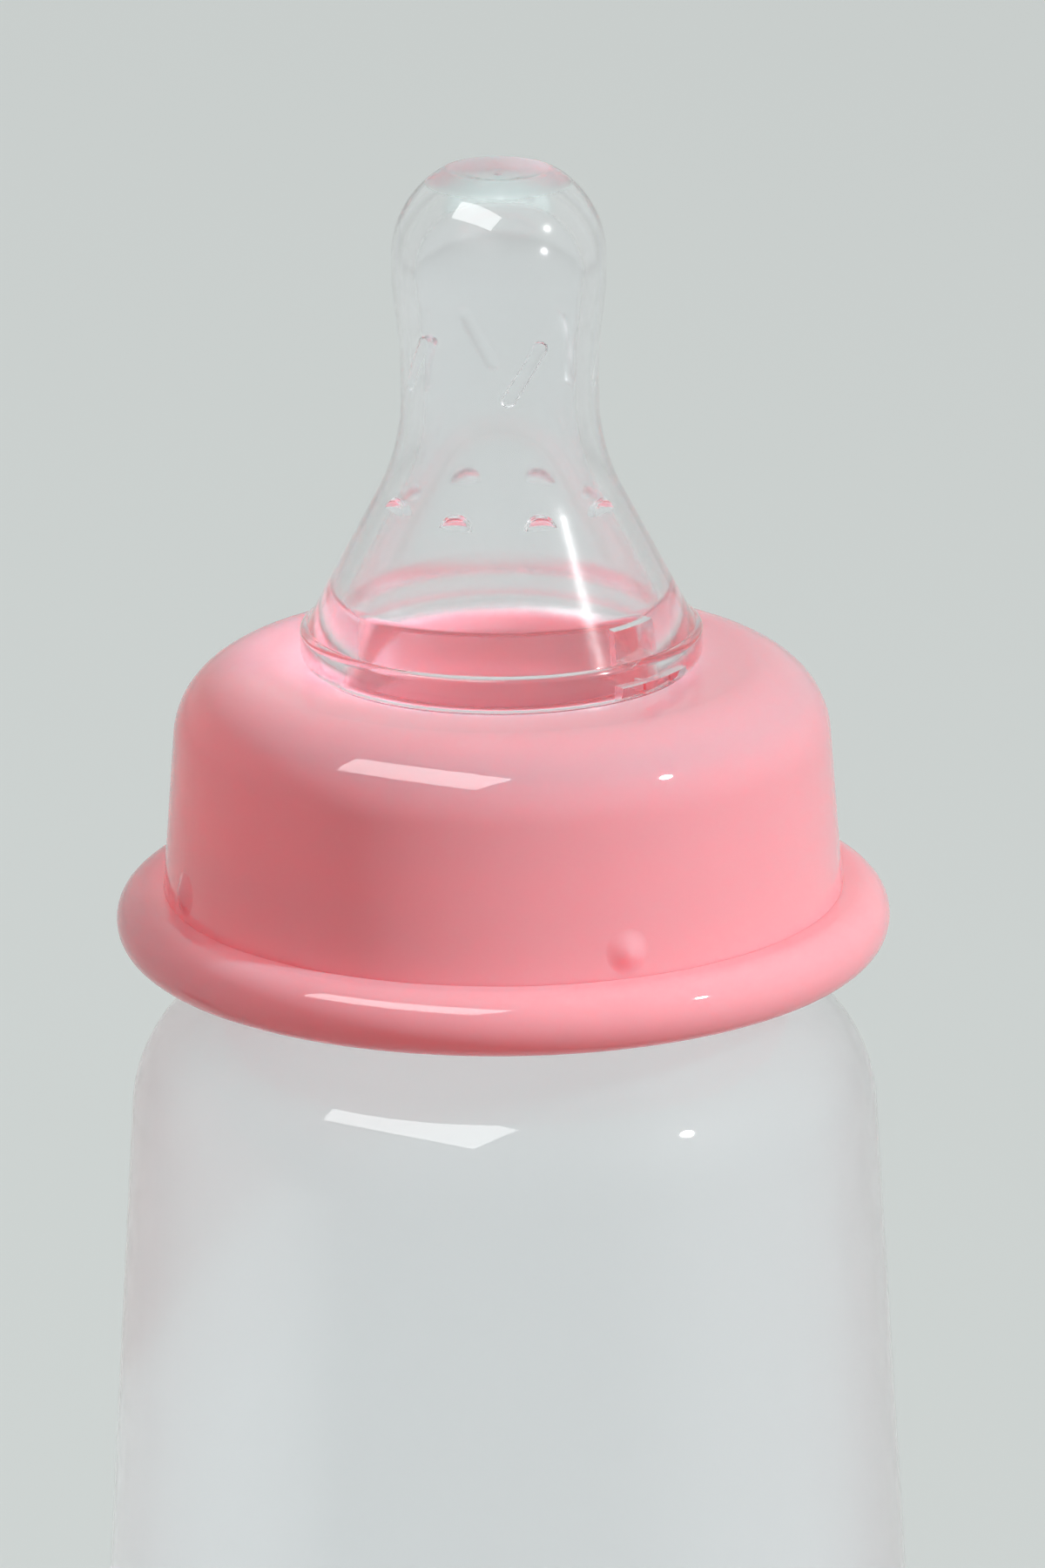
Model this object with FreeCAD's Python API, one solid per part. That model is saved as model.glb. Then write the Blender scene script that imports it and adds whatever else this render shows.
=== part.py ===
"""Narrow-neck baby bottle: a blow-moulded bottle, a screw collar and a one-piece silicone teat.

Millimetres, +Z up, origin at the centre of the ring that the bottle stands on.
Angles about the axis are counted from the front (-Y) towards +X.
"""
import FreeCAD, Part
import math
import os

from FreeCAD import Vector

# Neck of the bottle, which the collar and the teat are sized from
NECK_BORE_R = 17.0
NECK_WALL = 1.8
NECK_HEIGHT = 17.65
NECK_EDGE_ROUND = 0.6

# Screw thread, one start and right-handed, on the neck and in the collar
THREAD_PITCH = 5.0
THREAD_DEPTH = 1.1
THREAD_FOOT_WIDTH = 2.4
THREAD_CREST_WIDTH = 1.2
THREAD_CREST_GAP = 0.35
THREAD_FLANK_GAP = 0.4
THREAD_BITE = 0.5
THREAD_FADE_SINK = 0.25
THREAD_FADE_DEG = 40.0
THREAD_SECTION_DEG = 20.0
NECK_THREAD_TURNS = 1.4
NECK_THREAD_BELOW_RIM = 2.6
COLLAR_THREAD_TURNS = 1.25

# Body of the bottle
BODY_HEIGHT = 127.6
BOTTLE_WALL = 1.6
SHOULDER_STEP = 6.2
SHOULDER_DROP = 6.2
SHOULDER_ROUND = 9.5
TAPER_STEP = 4.0
TAPER_LENGTH = 65.2
TAPER_BLEND_ROUND = 250.0
BASE_ROUND = 6.0
STANDING_RING_WIDTH = 5.0
PUSH_UP_HEIGHT = 2.4
PUSH_UP_SLOPE_WIDTH = 7.0
PUSH_UP_ROUND = 3.0

# Measuring scale, sunk into the back of the body
SCALE_AT_DEG = 180.0
SCALE_STEP_ML = 10
SCALE_LONG_STEP_ML = 30
SCALE_TOP_ML = 240
MARK_DEPTH = 0.3
MARK_HEIGHT = 0.6
MARK_LONG = 9.0
MARK_SHORT = 5.0
FILL_SLICE = 0.05

# Screw collar
COLLAR_SKIRT_GAP = 1.2
COLLAR_WALL = 2.62
COLLAR_DRAFT_DEG = 4.25
COLLAR_TOP_THICKNESS = 1.8
COLLAR_SHOULDER_ROUND = 5.3
COLLAR_INNER_ROUND = 1.2
COLLAR_EDGE_ROUND = 0.5
LIP_REACH = 3.2
LIP_HEIGHT = 4.4
PIP_COUNT = 4
PIP_FIRST_DEG = 21.0
PIP_ABOVE_LIP = 1.8
PIP_FOOT_R = 1.3
PIP_HEIGHT = 0.5
PIP_BITE = 0.3

# Teat: foot flange, groove, bead, cone, neck and bulb
SEAT_GAP = 0.05
GROOVE_GAP = 0.2
TEAT_FLANGE_THICKNESS = 1.6
TEAT_FLANGE_GAP = 0.3
TEAT_GROOVE_R = 12.2
TEAT_BEAD_REACH = 1.3
TEAT_BEAD_HEIGHT = 2.6
TEAT_BEAD_ROUND = 1.2
CONE_FOOT_STEP = 0.5
TEAT_NECK_RISE = 14.9
TEAT_NECK_R = 6.62
TEAT_FLARE_ROUND = 14.0
BULB_START_RISE = 21.5
BULB_FULL_RISE = 26.0
BULB_R = 7.15
BULB_CENTRE_RISE = 27.7
BULB_BLEND_ROUND = 16.0
CRATER_R = 3.5
CRATER_DEPTH = 0.45
CRATER_SLOPE_WIDTH = 2.0
CRATER_RIM_ROUND = 0.9
CRATER_FLOOR_ROUND = 2.0
TEAT_EDGE_ROUND = 0.3
TEAT_WALL = 1.6
TEAT_FOOT_BORE_R = 10.4
FLOW_HOLE_R = 0.3

# Ribs, pads and air vent moulded inside and under the teat
NECK_RIB_COUNT = 4
NECK_RIB_FIRST_DEG = 18.0
NECK_RIB_LOW_RISE = 19.0
NECK_RIB_RISE = 4.3
NECK_RIB_LEAN_DEG = 31.0
NECK_RIB_R = 0.5
NECK_RIB_SINK = 0.05
PAD_COUNT = 8
PAD_FIRST_DEG = 21.0
PAD_RISE = 10.8
PAD_R = 1.15
PAD_SKIN = 0.15
FOOT_RIB_AT_DEG = 172.0
FOOT_RIB_R = 0.35
FOOT_RIB_LENGTH = 5.2
VENT_AT_DEG = 51.0
VENT_NOTCH_WIDTH_DEG = 29.0
VENT_NOTCH_HEIGHT = 1.1
VENT_POCKET_WIDTH_DEG = 20.0
VENT_POCKET_DEPTH = 0.7
VENT_POCKET_LOW = 1.6
VENT_POCKET_HEIGHT = 2.6
VENT_SLIT_WIDTH = 0.25
VENT_SLIT_HEIGHT = 0.8

# Places that follow from the sizes above
AXIS = Vector(0, 0, 1)
ORIGIN = Vector(0, 0, 0)
NECK_R = NECK_BORE_R + NECK_WALL
RIM_Z = BODY_HEIGHT + NECK_HEIGHT
WALL_TOP_R = NECK_R + SHOULDER_STEP
WALL_TOP_Z = BODY_HEIGHT - SHOULDER_DROP
BODY_R = WALL_TOP_R + TAPER_STEP
TAPER_LOW_Z = WALL_TOP_Z - TAPER_LENGTH
COLLAR_BORE_R = NECK_R + THREAD_DEPTH + THREAD_CREST_GAP
COLLAR_LOW_Z = BODY_HEIGHT + COLLAR_SKIRT_GAP
LIP_TOP_Z = COLLAR_LOW_Z + LIP_HEIGHT
FLANGE_LOW_Z = RIM_Z + SEAT_GAP
FLANGE_TOP_Z = FLANGE_LOW_Z + TEAT_FLANGE_THICKNESS
COLLAR_CEILING_Z = FLANGE_TOP_Z + SEAT_GAP
COLLAR_TOP_Z = COLLAR_CEILING_Z + COLLAR_TOP_THICKNESS
COLLAR_SKIRT_R = COLLAR_BORE_R + COLLAR_WALL
COLLAR_HOLE_R = TEAT_GROOVE_R + GROOVE_GAP
BEAD_LOW_Z = COLLAR_TOP_Z + SEAT_GAP
BEAD_TOP_Z = BEAD_LOW_Z + TEAT_BEAD_HEIGHT
BEAD_R = TEAT_GROOVE_R + TEAT_BEAD_REACH
FLANGE_R = COLLAR_BORE_R - COLLAR_INNER_ROUND - TEAT_FLANGE_GAP
CONE_FOOT_R = BEAD_R - CONE_FOOT_STEP
TEAT_NECK_Z = COLLAR_TOP_Z + TEAT_NECK_RISE
CONE_SLOPE = (CONE_FOOT_R - TEAT_NECK_R) / (TEAT_NECK_Z - BEAD_TOP_Z)
TEAT_BORE_R = TEAT_NECK_R - TEAT_WALL
BULB_TOP_Z = COLLAR_TOP_Z + BULB_CENTRE_RISE + math.sqrt(BULB_R ** 2 - CRATER_R ** 2)


# Outlines and placing

def outline(corners):
    """A closed face in the XZ plane through (radius, height, rounding) corners.

    Two roundings that meet on a short side share its length.
    """
    points = [Vector(radius, 0, height) for radius, height, _ in corners]
    count = len(points)
    reach = []
    for i, (_, _, rounding) in enumerate(corners):
        back = (points[i - 1] - points[i]).normalize()
        ahead = (points[(i + 1) % count] - points[i]).normalize()
        reach.append(rounding / math.tan(back.getAngle(ahead) / 2))
    for i in range(count):
        side = (points[i] - points[i - 1]).Length
        both = reach[i] + reach[i - 1]
        if both > side:
            reach[i] *= side / both
            reach[i - 1] *= side / both
    edges = []
    start = None
    for i in range(count):
        back = (points[i - 1] - points[i]).normalize()
        ahead = (points[(i + 1) % count] - points[i]).normalize()
        enter = points[i] + back * reach[i]
        leave = points[i] + ahead * reach[i]
        if start is None:
            first = enter
        elif (enter - start).Length > 1e-7:
            edges.append(Part.LineSegment(start, enter).toShape())
        if reach[i] > 0:
            half = back.getAngle(ahead) / 2
            middle = reach[i] * (1 / math.cos(half) - math.tan(half))
            bisector = (back + ahead).normalize()
            edges.append(Part.Arc(enter, points[i] + bisector * middle, leave).toShape())
        start = leave
    edges.append(Part.LineSegment(start, first).toShape())
    return Part.Face(Part.Wire(edges))


def turned(corners, degrees=360.0):
    """The outline turned about the axis."""
    return outline(corners).revolve(ORIGIN, AXIS, degrees)


def placed(shape, degrees):
    """A copy of a shape built at the front, turned to its angle about the axis."""
    copy = shape.copy()
    copy.rotate(ORIGIN, AXIS, degrees)
    return copy


def ring(shape, count, first_degrees):
    """Evenly spaced copies about the axis."""
    return [placed(shape, first_degrees + 360.0 * i / count) for i in range(count)]


def front_sector(corners, width_degrees):
    """The outline turned through a sector that is centred on the front."""
    return placed(turned(corners, width_degrees), -90.0 - width_degrees / 2)


def at(radius, degrees, height):
    """A point by its radius, angle from the front and height."""
    angle = math.radians(degrees)
    return Vector(radius * math.sin(angle), -radius * math.cos(angle), height)


def capsule(path, radius):
    """A round bar with round ends along one edge."""
    start, end = path.valueAt(path.FirstParameter), path.valueAt(path.LastParameter)
    section = Part.Wire(Part.Circle(start, path.tangentAt(path.FirstParameter), radius).toShape())
    bar = Part.Wire(path).makePipeShell([section], True, True)
    return bar.fuse([Part.makeSphere(radius, start), Part.makeSphere(radius, end)])


def ridge(wall_r, crest_r, low_z, first_degrees, turns):
    """One helical thread that stands on a round wall and fades into it at both ends."""
    outward = 1 if crest_r > wall_r else -1
    sections = []
    steps = math.ceil(turns * 360.0 / THREAD_SECTION_DEG)
    for i in range(steps + 1):
        along = turns * 360.0 * i / steps
        fade = min(along, turns * 360.0 - along) / THREAD_FADE_DEG
        rise = THREAD_DEPTH * min(1.0, fade) - THREAD_FADE_SINK * max(0.0, 1.0 - fade)
        height = low_z + THREAD_PITCH * along / 360.0
        flank = (THREAD_FOOT_WIDTH - THREAD_CREST_WIDTH) / 2 / THREAD_DEPTH
        foot_half = THREAD_FOOT_WIDTH / 2 + flank * THREAD_BITE
        tip_half = THREAD_FOOT_WIDTH / 2 - flank * rise
        foot_r = wall_r - outward * THREAD_BITE
        tip_r = wall_r + outward * rise
        corners = [(foot_r, -foot_half), (tip_r, -tip_half), (tip_r, tip_half), (foot_r, foot_half)]
        points = [at(radius, first_degrees + along, height + z) for radius, z in corners]
        sections.append(Part.makePolygon(points + points[:1]))
    return Part.makeLoft(sections, True, False)


# Bottle

def wall_radius(height):
    """Outer radius of the straight and tapered side wall."""
    if height <= TAPER_LOW_Z:
        return BODY_R
    return BODY_R - TAPER_STEP * (height - TAPER_LOW_Z) / TAPER_LENGTH


def fill_height(millilitres):
    """Height that a feed of this volume reaches, added up in thin slices from the floor."""
    height = BOTTLE_WALL + PUSH_UP_HEIGHT / 2
    left = millilitres * 1000.0
    while left > 0:
        height += FILL_SLICE
        left -= math.pi * (wall_radius(height) - BOTTLE_WALL) ** 2 * FILL_SLICE
    return height


def scale_marks():
    """What is cut away for the scale: bars to one side of a line up the back, every third one long."""
    marks = []
    for millilitres in range(SCALE_STEP_ML, SCALE_TOP_ML + 1, SCALE_STEP_ML):
        height = fill_height(millilitres)
        length = MARK_SHORT if millilitres % SCALE_LONG_STEP_ML else MARK_LONG
        radius = wall_radius(height)
        bar = turned([
            (radius - MARK_DEPTH, height - MARK_HEIGHT / 2, 0),
            (radius + MARK_DEPTH, height - MARK_HEIGHT / 2, 0),
            (radius + MARK_DEPTH, height + MARK_HEIGHT / 2, 0),
            (radius - MARK_DEPTH, height + MARK_HEIGHT / 2, 0),
        ], math.degrees(length / radius))
        marks.append(placed(bar, SCALE_AT_DEG - 90.0))
    return marks


def bottle_body():
    """One hollow moulding: standing ring, push-up, side wall, shoulder, neck and thread."""
    slope = SHOULDER_DROP / SHOULDER_STEP
    under = BOTTLE_WALL * math.hypot(1, slope)
    bore_foot_z = BODY_HEIGHT + NECK_WALL * slope - under
    inner_top_z = WALL_TOP_Z + BOTTLE_WALL * slope - under
    inner_r = BODY_R - BOTTLE_WALL
    ring_outer = BODY_R - BASE_ROUND
    ring_inner = ring_outer - STANDING_RING_WIDTH
    disc_r = ring_inner - PUSH_UP_SLOPE_WIDTH
    floor_z = PUSH_UP_HEIGHT + BOTTLE_WALL
    shell = turned([
        (0, PUSH_UP_HEIGHT, 0),
        (disc_r, PUSH_UP_HEIGHT, PUSH_UP_ROUND),
        (ring_inner, 0, PUSH_UP_ROUND),
        (BODY_R, 0, BASE_ROUND),
        (BODY_R, TAPER_LOW_Z, TAPER_BLEND_ROUND),
        (WALL_TOP_R, WALL_TOP_Z, SHOULDER_ROUND),
        (NECK_R, BODY_HEIGHT, NECK_EDGE_ROUND),
        (NECK_R, RIM_Z, NECK_EDGE_ROUND),
        (NECK_BORE_R, RIM_Z, NECK_EDGE_ROUND),
        (NECK_BORE_R, bore_foot_z, NECK_EDGE_ROUND),
        (WALL_TOP_R - BOTTLE_WALL, inner_top_z, SHOULDER_ROUND - BOTTLE_WALL),
        (inner_r, TAPER_LOW_Z, TAPER_BLEND_ROUND),
        (inner_r, BOTTLE_WALL, BASE_ROUND - BOTTLE_WALL),
        (ring_inner, BOTTLE_WALL, PUSH_UP_ROUND),
        (disc_r, floor_z, PUSH_UP_ROUND),
        (0, floor_z, 0),
    ])
    thread = ridge(NECK_R, NECK_R + THREAD_DEPTH, neck_thread_low_z(), 0.0, NECK_THREAD_TURNS)
    return shell.cut(scale_marks()).fuse(thread).removeSplitter()


def neck_thread_low_z():
    """Height of the middle of the neck's thread where it starts, at the front."""
    return RIM_Z - NECK_THREAD_BELOW_RIM - THREAD_PITCH * NECK_THREAD_TURNS


# Collar

def collar_wall_radius(height):
    """Outer radius of the drafted skirt."""
    return COLLAR_SKIRT_R - (height - LIP_TOP_Z) * math.tan(math.radians(COLLAR_DRAFT_DEG))


def collar_pip():
    """A low round pip at the front of the skirt, which a hood snaps over."""
    ball_r = (PIP_FOOT_R ** 2 + PIP_HEIGHT ** 2) / (2 * PIP_HEIGHT)
    height = LIP_TOP_Z + PIP_ABOVE_LIP
    centre = at(collar_wall_radius(height) + PIP_HEIGHT - ball_r, 0.0, height)
    low_latitude = math.degrees(math.asin((ball_r - PIP_HEIGHT - PIP_BITE) / ball_r))
    return Part.makeSphere(ball_r, centre, Vector(0, -1, 0), low_latitude, 90.0, 360.0)


def screw_collar():
    """The cap ring: drafted skirt, rolled lip, top with the teat's hole, thread and pips."""
    lip_round = LIP_HEIGHT / 2
    shell = turned([
        (COLLAR_BORE_R, COLLAR_LOW_Z, COLLAR_EDGE_ROUND),
        (COLLAR_SKIRT_R + LIP_REACH, COLLAR_LOW_Z, lip_round),
        (COLLAR_SKIRT_R + LIP_REACH, LIP_TOP_Z, lip_round),
        (COLLAR_SKIRT_R, LIP_TOP_Z, 0),
        (collar_wall_radius(COLLAR_TOP_Z), COLLAR_TOP_Z, COLLAR_SHOULDER_ROUND),
        (COLLAR_HOLE_R, COLLAR_TOP_Z, COLLAR_EDGE_ROUND),
        (COLLAR_HOLE_R, COLLAR_CEILING_Z, COLLAR_EDGE_ROUND),
        (COLLAR_BORE_R, COLLAR_CEILING_Z, COLLAR_INNER_ROUND),
    ])
    # Wound tight, the collar's thread bears up against the underside of the neck's thread.
    overlap = THREAD_DEPTH - THREAD_CREST_GAP
    flank = (THREAD_FOOT_WIDTH - THREAD_CREST_WIDTH) / THREAD_DEPTH
    engaged_width = THREAD_CREST_WIDTH * 2 + flank * overlap
    low_z = neck_thread_low_z() - engaged_width / 2 - THREAD_FLANK_GAP
    crest_r = COLLAR_BORE_R - THREAD_DEPTH
    spare = (NECK_THREAD_TURNS - COLLAR_THREAD_TURNS) / 2
    thread = ridge(
        COLLAR_BORE_R, crest_r, low_z + spare * THREAD_PITCH, spare * 360.0, COLLAR_THREAD_TURNS
    )
    return shell.fuse([thread] + ring(collar_pip(), PIP_COUNT, PIP_FIRST_DEG)).removeSplitter()


# Teat

def neck_rib():
    """A slanting rib on the inside of the teat's neck, which keeps it from collapsing."""
    radius = TEAT_BORE_R + NECK_RIB_SINK
    half_turn = math.degrees(NECK_RIB_RISE / 2 * math.tan(math.radians(NECK_RIB_LEAN_DEG)) / radius)
    low = COLLAR_TOP_Z + NECK_RIB_LOW_RISE
    points = [at(radius, half_turn * k, low + NECK_RIB_RISE * (k + 1) / 2) for k in (-1, 0, 1)]
    return capsule(Part.Arc(*points).toShape(), NECK_RIB_R)


def cone_pad():
    """A half-round pad with a flat underside, inside the upper end of the cone."""
    height = COLLAR_TOP_Z + PAD_RISE
    cone_r = TEAT_NECK_R + (TEAT_NECK_Z - height) * CONE_SLOPE
    below_skin = (PAD_R + PAD_SKIN) * math.hypot(1, CONE_SLOPE)
    return Part.makeSphere(PAD_R, at(cone_r - below_skin, 0.0, height), AXIS, 0.0, 90.0, 360.0)


def foot_rib():
    """A short upright rib inside the foot of the teat."""
    low = FLANGE_TOP_Z
    path = Part.LineSegment(
        at(TEAT_FOOT_BORE_R, 0.0, low), at(TEAT_FOOT_BORE_R, 0.0, low + FOOT_RIB_LENGTH)
    ).toShape()
    return capsule(path, FOOT_RIB_R)


def air_vent():
    """What is cut away for air: a notch under the bead, a pocket inside and a slit between them."""
    notch_top = BEAD_LOW_Z + VENT_NOTCH_HEIGHT
    notch = front_sector([
        (TEAT_GROOVE_R, BEAD_LOW_Z - SEAT_GAP, 0),
        (BEAD_R + TEAT_BEAD_REACH, BEAD_LOW_Z - SEAT_GAP, 0),
        (BEAD_R + TEAT_BEAD_REACH, notch_top, 0),
        (TEAT_GROOVE_R, notch_top, 0),
    ], VENT_NOTCH_WIDTH_DEG)
    pocket_low = BEAD_LOW_Z + VENT_POCKET_LOW
    pocket = front_sector([
        (TEAT_FOOT_BORE_R - VENT_POCKET_DEPTH, pocket_low, 0),
        (TEAT_FOOT_BORE_R + VENT_POCKET_DEPTH, pocket_low, 0),
        (TEAT_FOOT_BORE_R + VENT_POCKET_DEPTH, pocket_low + VENT_POCKET_HEIGHT, 0),
        (TEAT_FOOT_BORE_R - VENT_POCKET_DEPTH, pocket_low + VENT_POCKET_HEIGHT, 0),
    ], VENT_POCKET_WIDTH_DEG)
    slit_length = BEAD_R - TEAT_FOOT_BORE_R + VENT_POCKET_DEPTH
    slit = Part.makeBox(
        VENT_SLIT_WIDTH, slit_length, VENT_SLIT_HEIGHT,
        Vector(-VENT_SLIT_WIDTH / 2, -BEAD_R, BEAD_LOW_Z),
    )
    return [placed(piece, VENT_AT_DEG) for piece in (notch, pocket, slit)]


def teat():
    """One silicone moulding, from the flange under the collar to the holed bulb."""
    top = COLLAR_TOP_Z
    bulb_z = top + BULB_CENTRE_RISE
    dome_half = math.acos(CRATER_R / BULB_R) / 2
    crater_z = BULB_TOP_Z - CRATER_DEPTH
    bulb_bore_r = BULB_R - TEAT_WALL
    ceiling_z = crater_z - TEAT_WALL
    foot_bore_top_z = TEAT_NECK_Z - (TEAT_FOOT_BORE_R - TEAT_BORE_R) / CONE_SLOPE
    shell = turned([
        (TEAT_FOOT_BORE_R, FLANGE_LOW_Z, TEAT_EDGE_ROUND),
        (FLANGE_R, FLANGE_LOW_Z, TEAT_EDGE_ROUND),
        (FLANGE_R, FLANGE_TOP_Z, TEAT_EDGE_ROUND),
        (TEAT_GROOVE_R, FLANGE_TOP_Z, 0),
        (TEAT_GROOVE_R, BEAD_LOW_Z, 0),
        (BEAD_R, BEAD_LOW_Z, TEAT_BEAD_ROUND),
        (BEAD_R, BEAD_TOP_Z, TEAT_BEAD_ROUND),
        (CONE_FOOT_R, BEAD_TOP_Z, TEAT_EDGE_ROUND),
        (TEAT_NECK_R, TEAT_NECK_Z, TEAT_FLARE_ROUND),
        (TEAT_NECK_R, top + BULB_START_RISE, BULB_BLEND_ROUND),
        (BULB_R, top + BULB_FULL_RISE, BULB_BLEND_ROUND),
        (BULB_R, bulb_z + BULB_R * math.tan(dome_half), BULB_R),
        (CRATER_R, BULB_TOP_Z, CRATER_RIM_ROUND),
        (CRATER_R - CRATER_SLOPE_WIDTH, crater_z, CRATER_FLOOR_ROUND),
        (FLOW_HOLE_R, crater_z, 0),
        (FLOW_HOLE_R, ceiling_z, 0),
        (bulb_bore_r, ceiling_z, bulb_bore_r - TEAT_EDGE_ROUND),
        (bulb_bore_r, top + BULB_FULL_RISE, BULB_BLEND_ROUND),
        (TEAT_BORE_R, top + BULB_START_RISE, BULB_BLEND_ROUND),
        (TEAT_BORE_R, TEAT_NECK_Z, TEAT_FLARE_ROUND),
        (TEAT_FOOT_BORE_R, foot_bore_top_z, TEAT_BEAD_ROUND),
    ])
    ribs = ring(neck_rib(), NECK_RIB_COUNT, NECK_RIB_FIRST_DEG)
    pads = ring(cone_pad(), PAD_COUNT, PAD_FIRST_DEG)
    whole = shell.fuse(ribs + pads + [placed(foot_rib(), FOOT_RIB_AT_DEG)])
    return whole.cut(air_vent()).removeSplitter()


# One file for each piece
os.makedirs("parts", exist_ok=True)
PIECES = {"bottle_body": bottle_body, "screw_collar": screw_collar, "teat": teat}
for name, make in PIECES.items():
    piece = make()
    print(name, "solids", len(piece.Solids), "valid", piece.isValid(), "cm3", round(piece.Volume / 1000, 3))
    piece.exportStep(os.path.join("parts", name + ".step"))
print("feed at the top mark reaches", round(fill_height(SCALE_TOP_ML), 2))
print("body radius", BODY_R, "collar top", COLLAR_TOP_Z, "top of the teat", round(BULB_TOP_Z, 2))
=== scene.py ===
# %% [markdown]
# # A baby bottle with a pink collar and a clear teat
# The real thing is three mouldings: a milky polypropylene bottle, a pink polypropylene screw collar,
# and a clear silicone teat that the collar clamps onto the rim. All three are round, so each one is an
# outline turned about the Z axis, with a few things added to it or cut out of it. The CAD model of the
# same three pieces is loaded first as a fixed frame. It says where every piece is and how it moves, in
# metres, with +Z up and the front at -Y.

# %% Load the fixed frame
import math

import bpy
from mathutils import Matrix, Vector


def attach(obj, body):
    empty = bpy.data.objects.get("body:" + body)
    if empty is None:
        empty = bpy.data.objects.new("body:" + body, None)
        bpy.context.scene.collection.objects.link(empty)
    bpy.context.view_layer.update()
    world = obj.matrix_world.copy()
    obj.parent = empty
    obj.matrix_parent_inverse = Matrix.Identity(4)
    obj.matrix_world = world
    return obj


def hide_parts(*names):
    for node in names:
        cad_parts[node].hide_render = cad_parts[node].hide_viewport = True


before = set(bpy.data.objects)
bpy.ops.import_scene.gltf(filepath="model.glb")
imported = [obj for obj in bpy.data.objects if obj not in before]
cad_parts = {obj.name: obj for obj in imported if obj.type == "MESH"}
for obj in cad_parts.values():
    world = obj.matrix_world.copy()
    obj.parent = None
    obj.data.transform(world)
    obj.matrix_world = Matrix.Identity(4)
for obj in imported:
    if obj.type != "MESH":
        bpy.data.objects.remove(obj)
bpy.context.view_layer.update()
scene = bpy.context.scene
scene.view_settings.view_transform = "Standard"

# %% [markdown]
# ## How far light may go
# A line of sight can cross the teat twice, the collar and both sides of the bottle. Blender could keep
# its usual short light paths, but a path that is cut off shows as a black patch, so the paths here are
# long. A clamp on indirect light keeps the few paths that find a lamp by chance from leaving white
# specks.

# %% Light paths
LONGEST_PATH = 32
GLOSSY_STEPS = 16
DIFFUSE_STEPS = 8
BRIGHTEST_INDIRECT = 2.0
scene.cycles.max_bounces = LONGEST_PATH
scene.cycles.transmission_bounces = LONGEST_PATH
scene.cycles.glossy_bounces = GLOSSY_STEPS
scene.cycles.diffuse_bounces = DIFFUSE_STEPS
scene.cycles.sample_clamp_indirect = BRIGHTEST_INDIRECT
print("light may cross", LONGEST_PATH, "surfaces")

# %% [markdown]
# ## The camera
# The photograph is a close view through a long lens, a little above the collar, and the bottle runs out
# of the lower edge. A camera could be placed by eye, but a known point gives it exactly: the middle of
# the crease between the collar's skirt and its lip. The camera looks at that point from the front,
# rolls about that line of sight, and then swings until the point lands on its pixel. No lens shift is
# needed for that.

# %% Camera
PHOTO_WIDTH = 1200
PHOTO_HEIGHT = 1800
CREASE_PIXEL_X = 577.8
CREASE_PIXEL_Y = 1017.2
CREASE_POINT = Vector((0.0, 0.0, 0.13286))
PIXELS_PER_METRE = 17040.0
CAMERA_DISTANCE = 0.8
CAMERA_ELEVATION = math.radians(17.54)
CAMERA_ROLL = math.radians(-0.40)
SENSOR_MM = 36.0
NEAREST_SEEN = 0.01
FARTHEST_SEEN = 100.0


def add_object(name, data):
    """A new object in the scene."""
    made = bpy.data.objects.new(name, data)
    scene.collection.objects.link(made)
    return made


def photo_camera():
    """The camera that the photograph was taken with, as far as the object tells."""
    focal_pixels = PIXELS_PER_METRE * CAMERA_DISTANCE
    lens = bpy.data.cameras.new("photo_camera")
    lens.sensor_width = SENSOR_MM
    lens.lens = SENSOR_MM * focal_pixels / PHOTO_HEIGHT
    lens.clip_start = NEAREST_SEEN
    lens.clip_end = FARTHEST_SEEN
    towards_camera = Vector((0.0, -math.cos(CAMERA_ELEVATION), math.sin(CAMERA_ELEVATION)))
    pitch = math.atan((CREASE_PIXEL_Y - PHOTO_HEIGHT / 2) / focal_pixels)
    yaw = math.atan((CREASE_PIXEL_X - PHOTO_WIDTH / 2) / focal_pixels)
    aim = (-towards_camera).to_track_quat("-Z", "Y").to_matrix()
    roll = Matrix.Rotation(CAMERA_ROLL, 3, "Z")
    swing = roll @ Matrix.Rotation(pitch, 3, "X") @ Matrix.Rotation(yaw, 3, "Y")
    camera = add_object("photo_camera", lens)
    place = Matrix.Translation(CREASE_POINT + towards_camera * CAMERA_DISTANCE)
    camera.matrix_world = place @ (aim @ swing).to_4x4()
    return camera


scene.camera = photo_camera()
print("lens in mm", round(scene.camera.data.lens, 1))

# %% [markdown]
# ## Helpers for node trees
# Every piece and every finish below is a node tree that is written out in Python. Nodes could be added
# and linked one line at a time, but that buries the idea. One helper adds a node, sets its options and
# fills its inputs. It gives the node's outputs as wires, and sums are written with wires as with
# numbers. The rest are short ways to the nodes that are used most.

# %% Helpers for node trees
class Wire:
    """An output of a node. Signs work on it as on a number, and each sign adds a Math node."""

    def __init__(self, socket):
        self.socket = socket
        self.tree = socket.id_data

    def __add__(self, other):
        return add_sum(self.tree, "ADD", self, other)

    def __sub__(self, other):
        return add_sum(self.tree, "SUBTRACT", self, other)

    def __rsub__(self, other):
        return add_sum(self.tree, "SUBTRACT", other, self)

    def __mul__(self, other):
        return add_sum(self.tree, "MULTIPLY", self, other)

    def __truediv__(self, other):
        return add_sum(self.tree, "DIVIDE", self, other)

    def __rtruediv__(self, other):
        return add_sum(self.tree, "DIVIDE", other, self)


def fill(node, inputs):
    """Fill a node's inputs, by name or number, with values, wires or lists of wires."""
    for name, given in inputs.items():
        socket = node.inputs[name]
        sources = given if isinstance(given, list) else [given]
        for source in sources:
            if isinstance(source, Wire):
                node.id_data.links.new(source.socket, socket)
            else:
                socket.default_value = source


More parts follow.
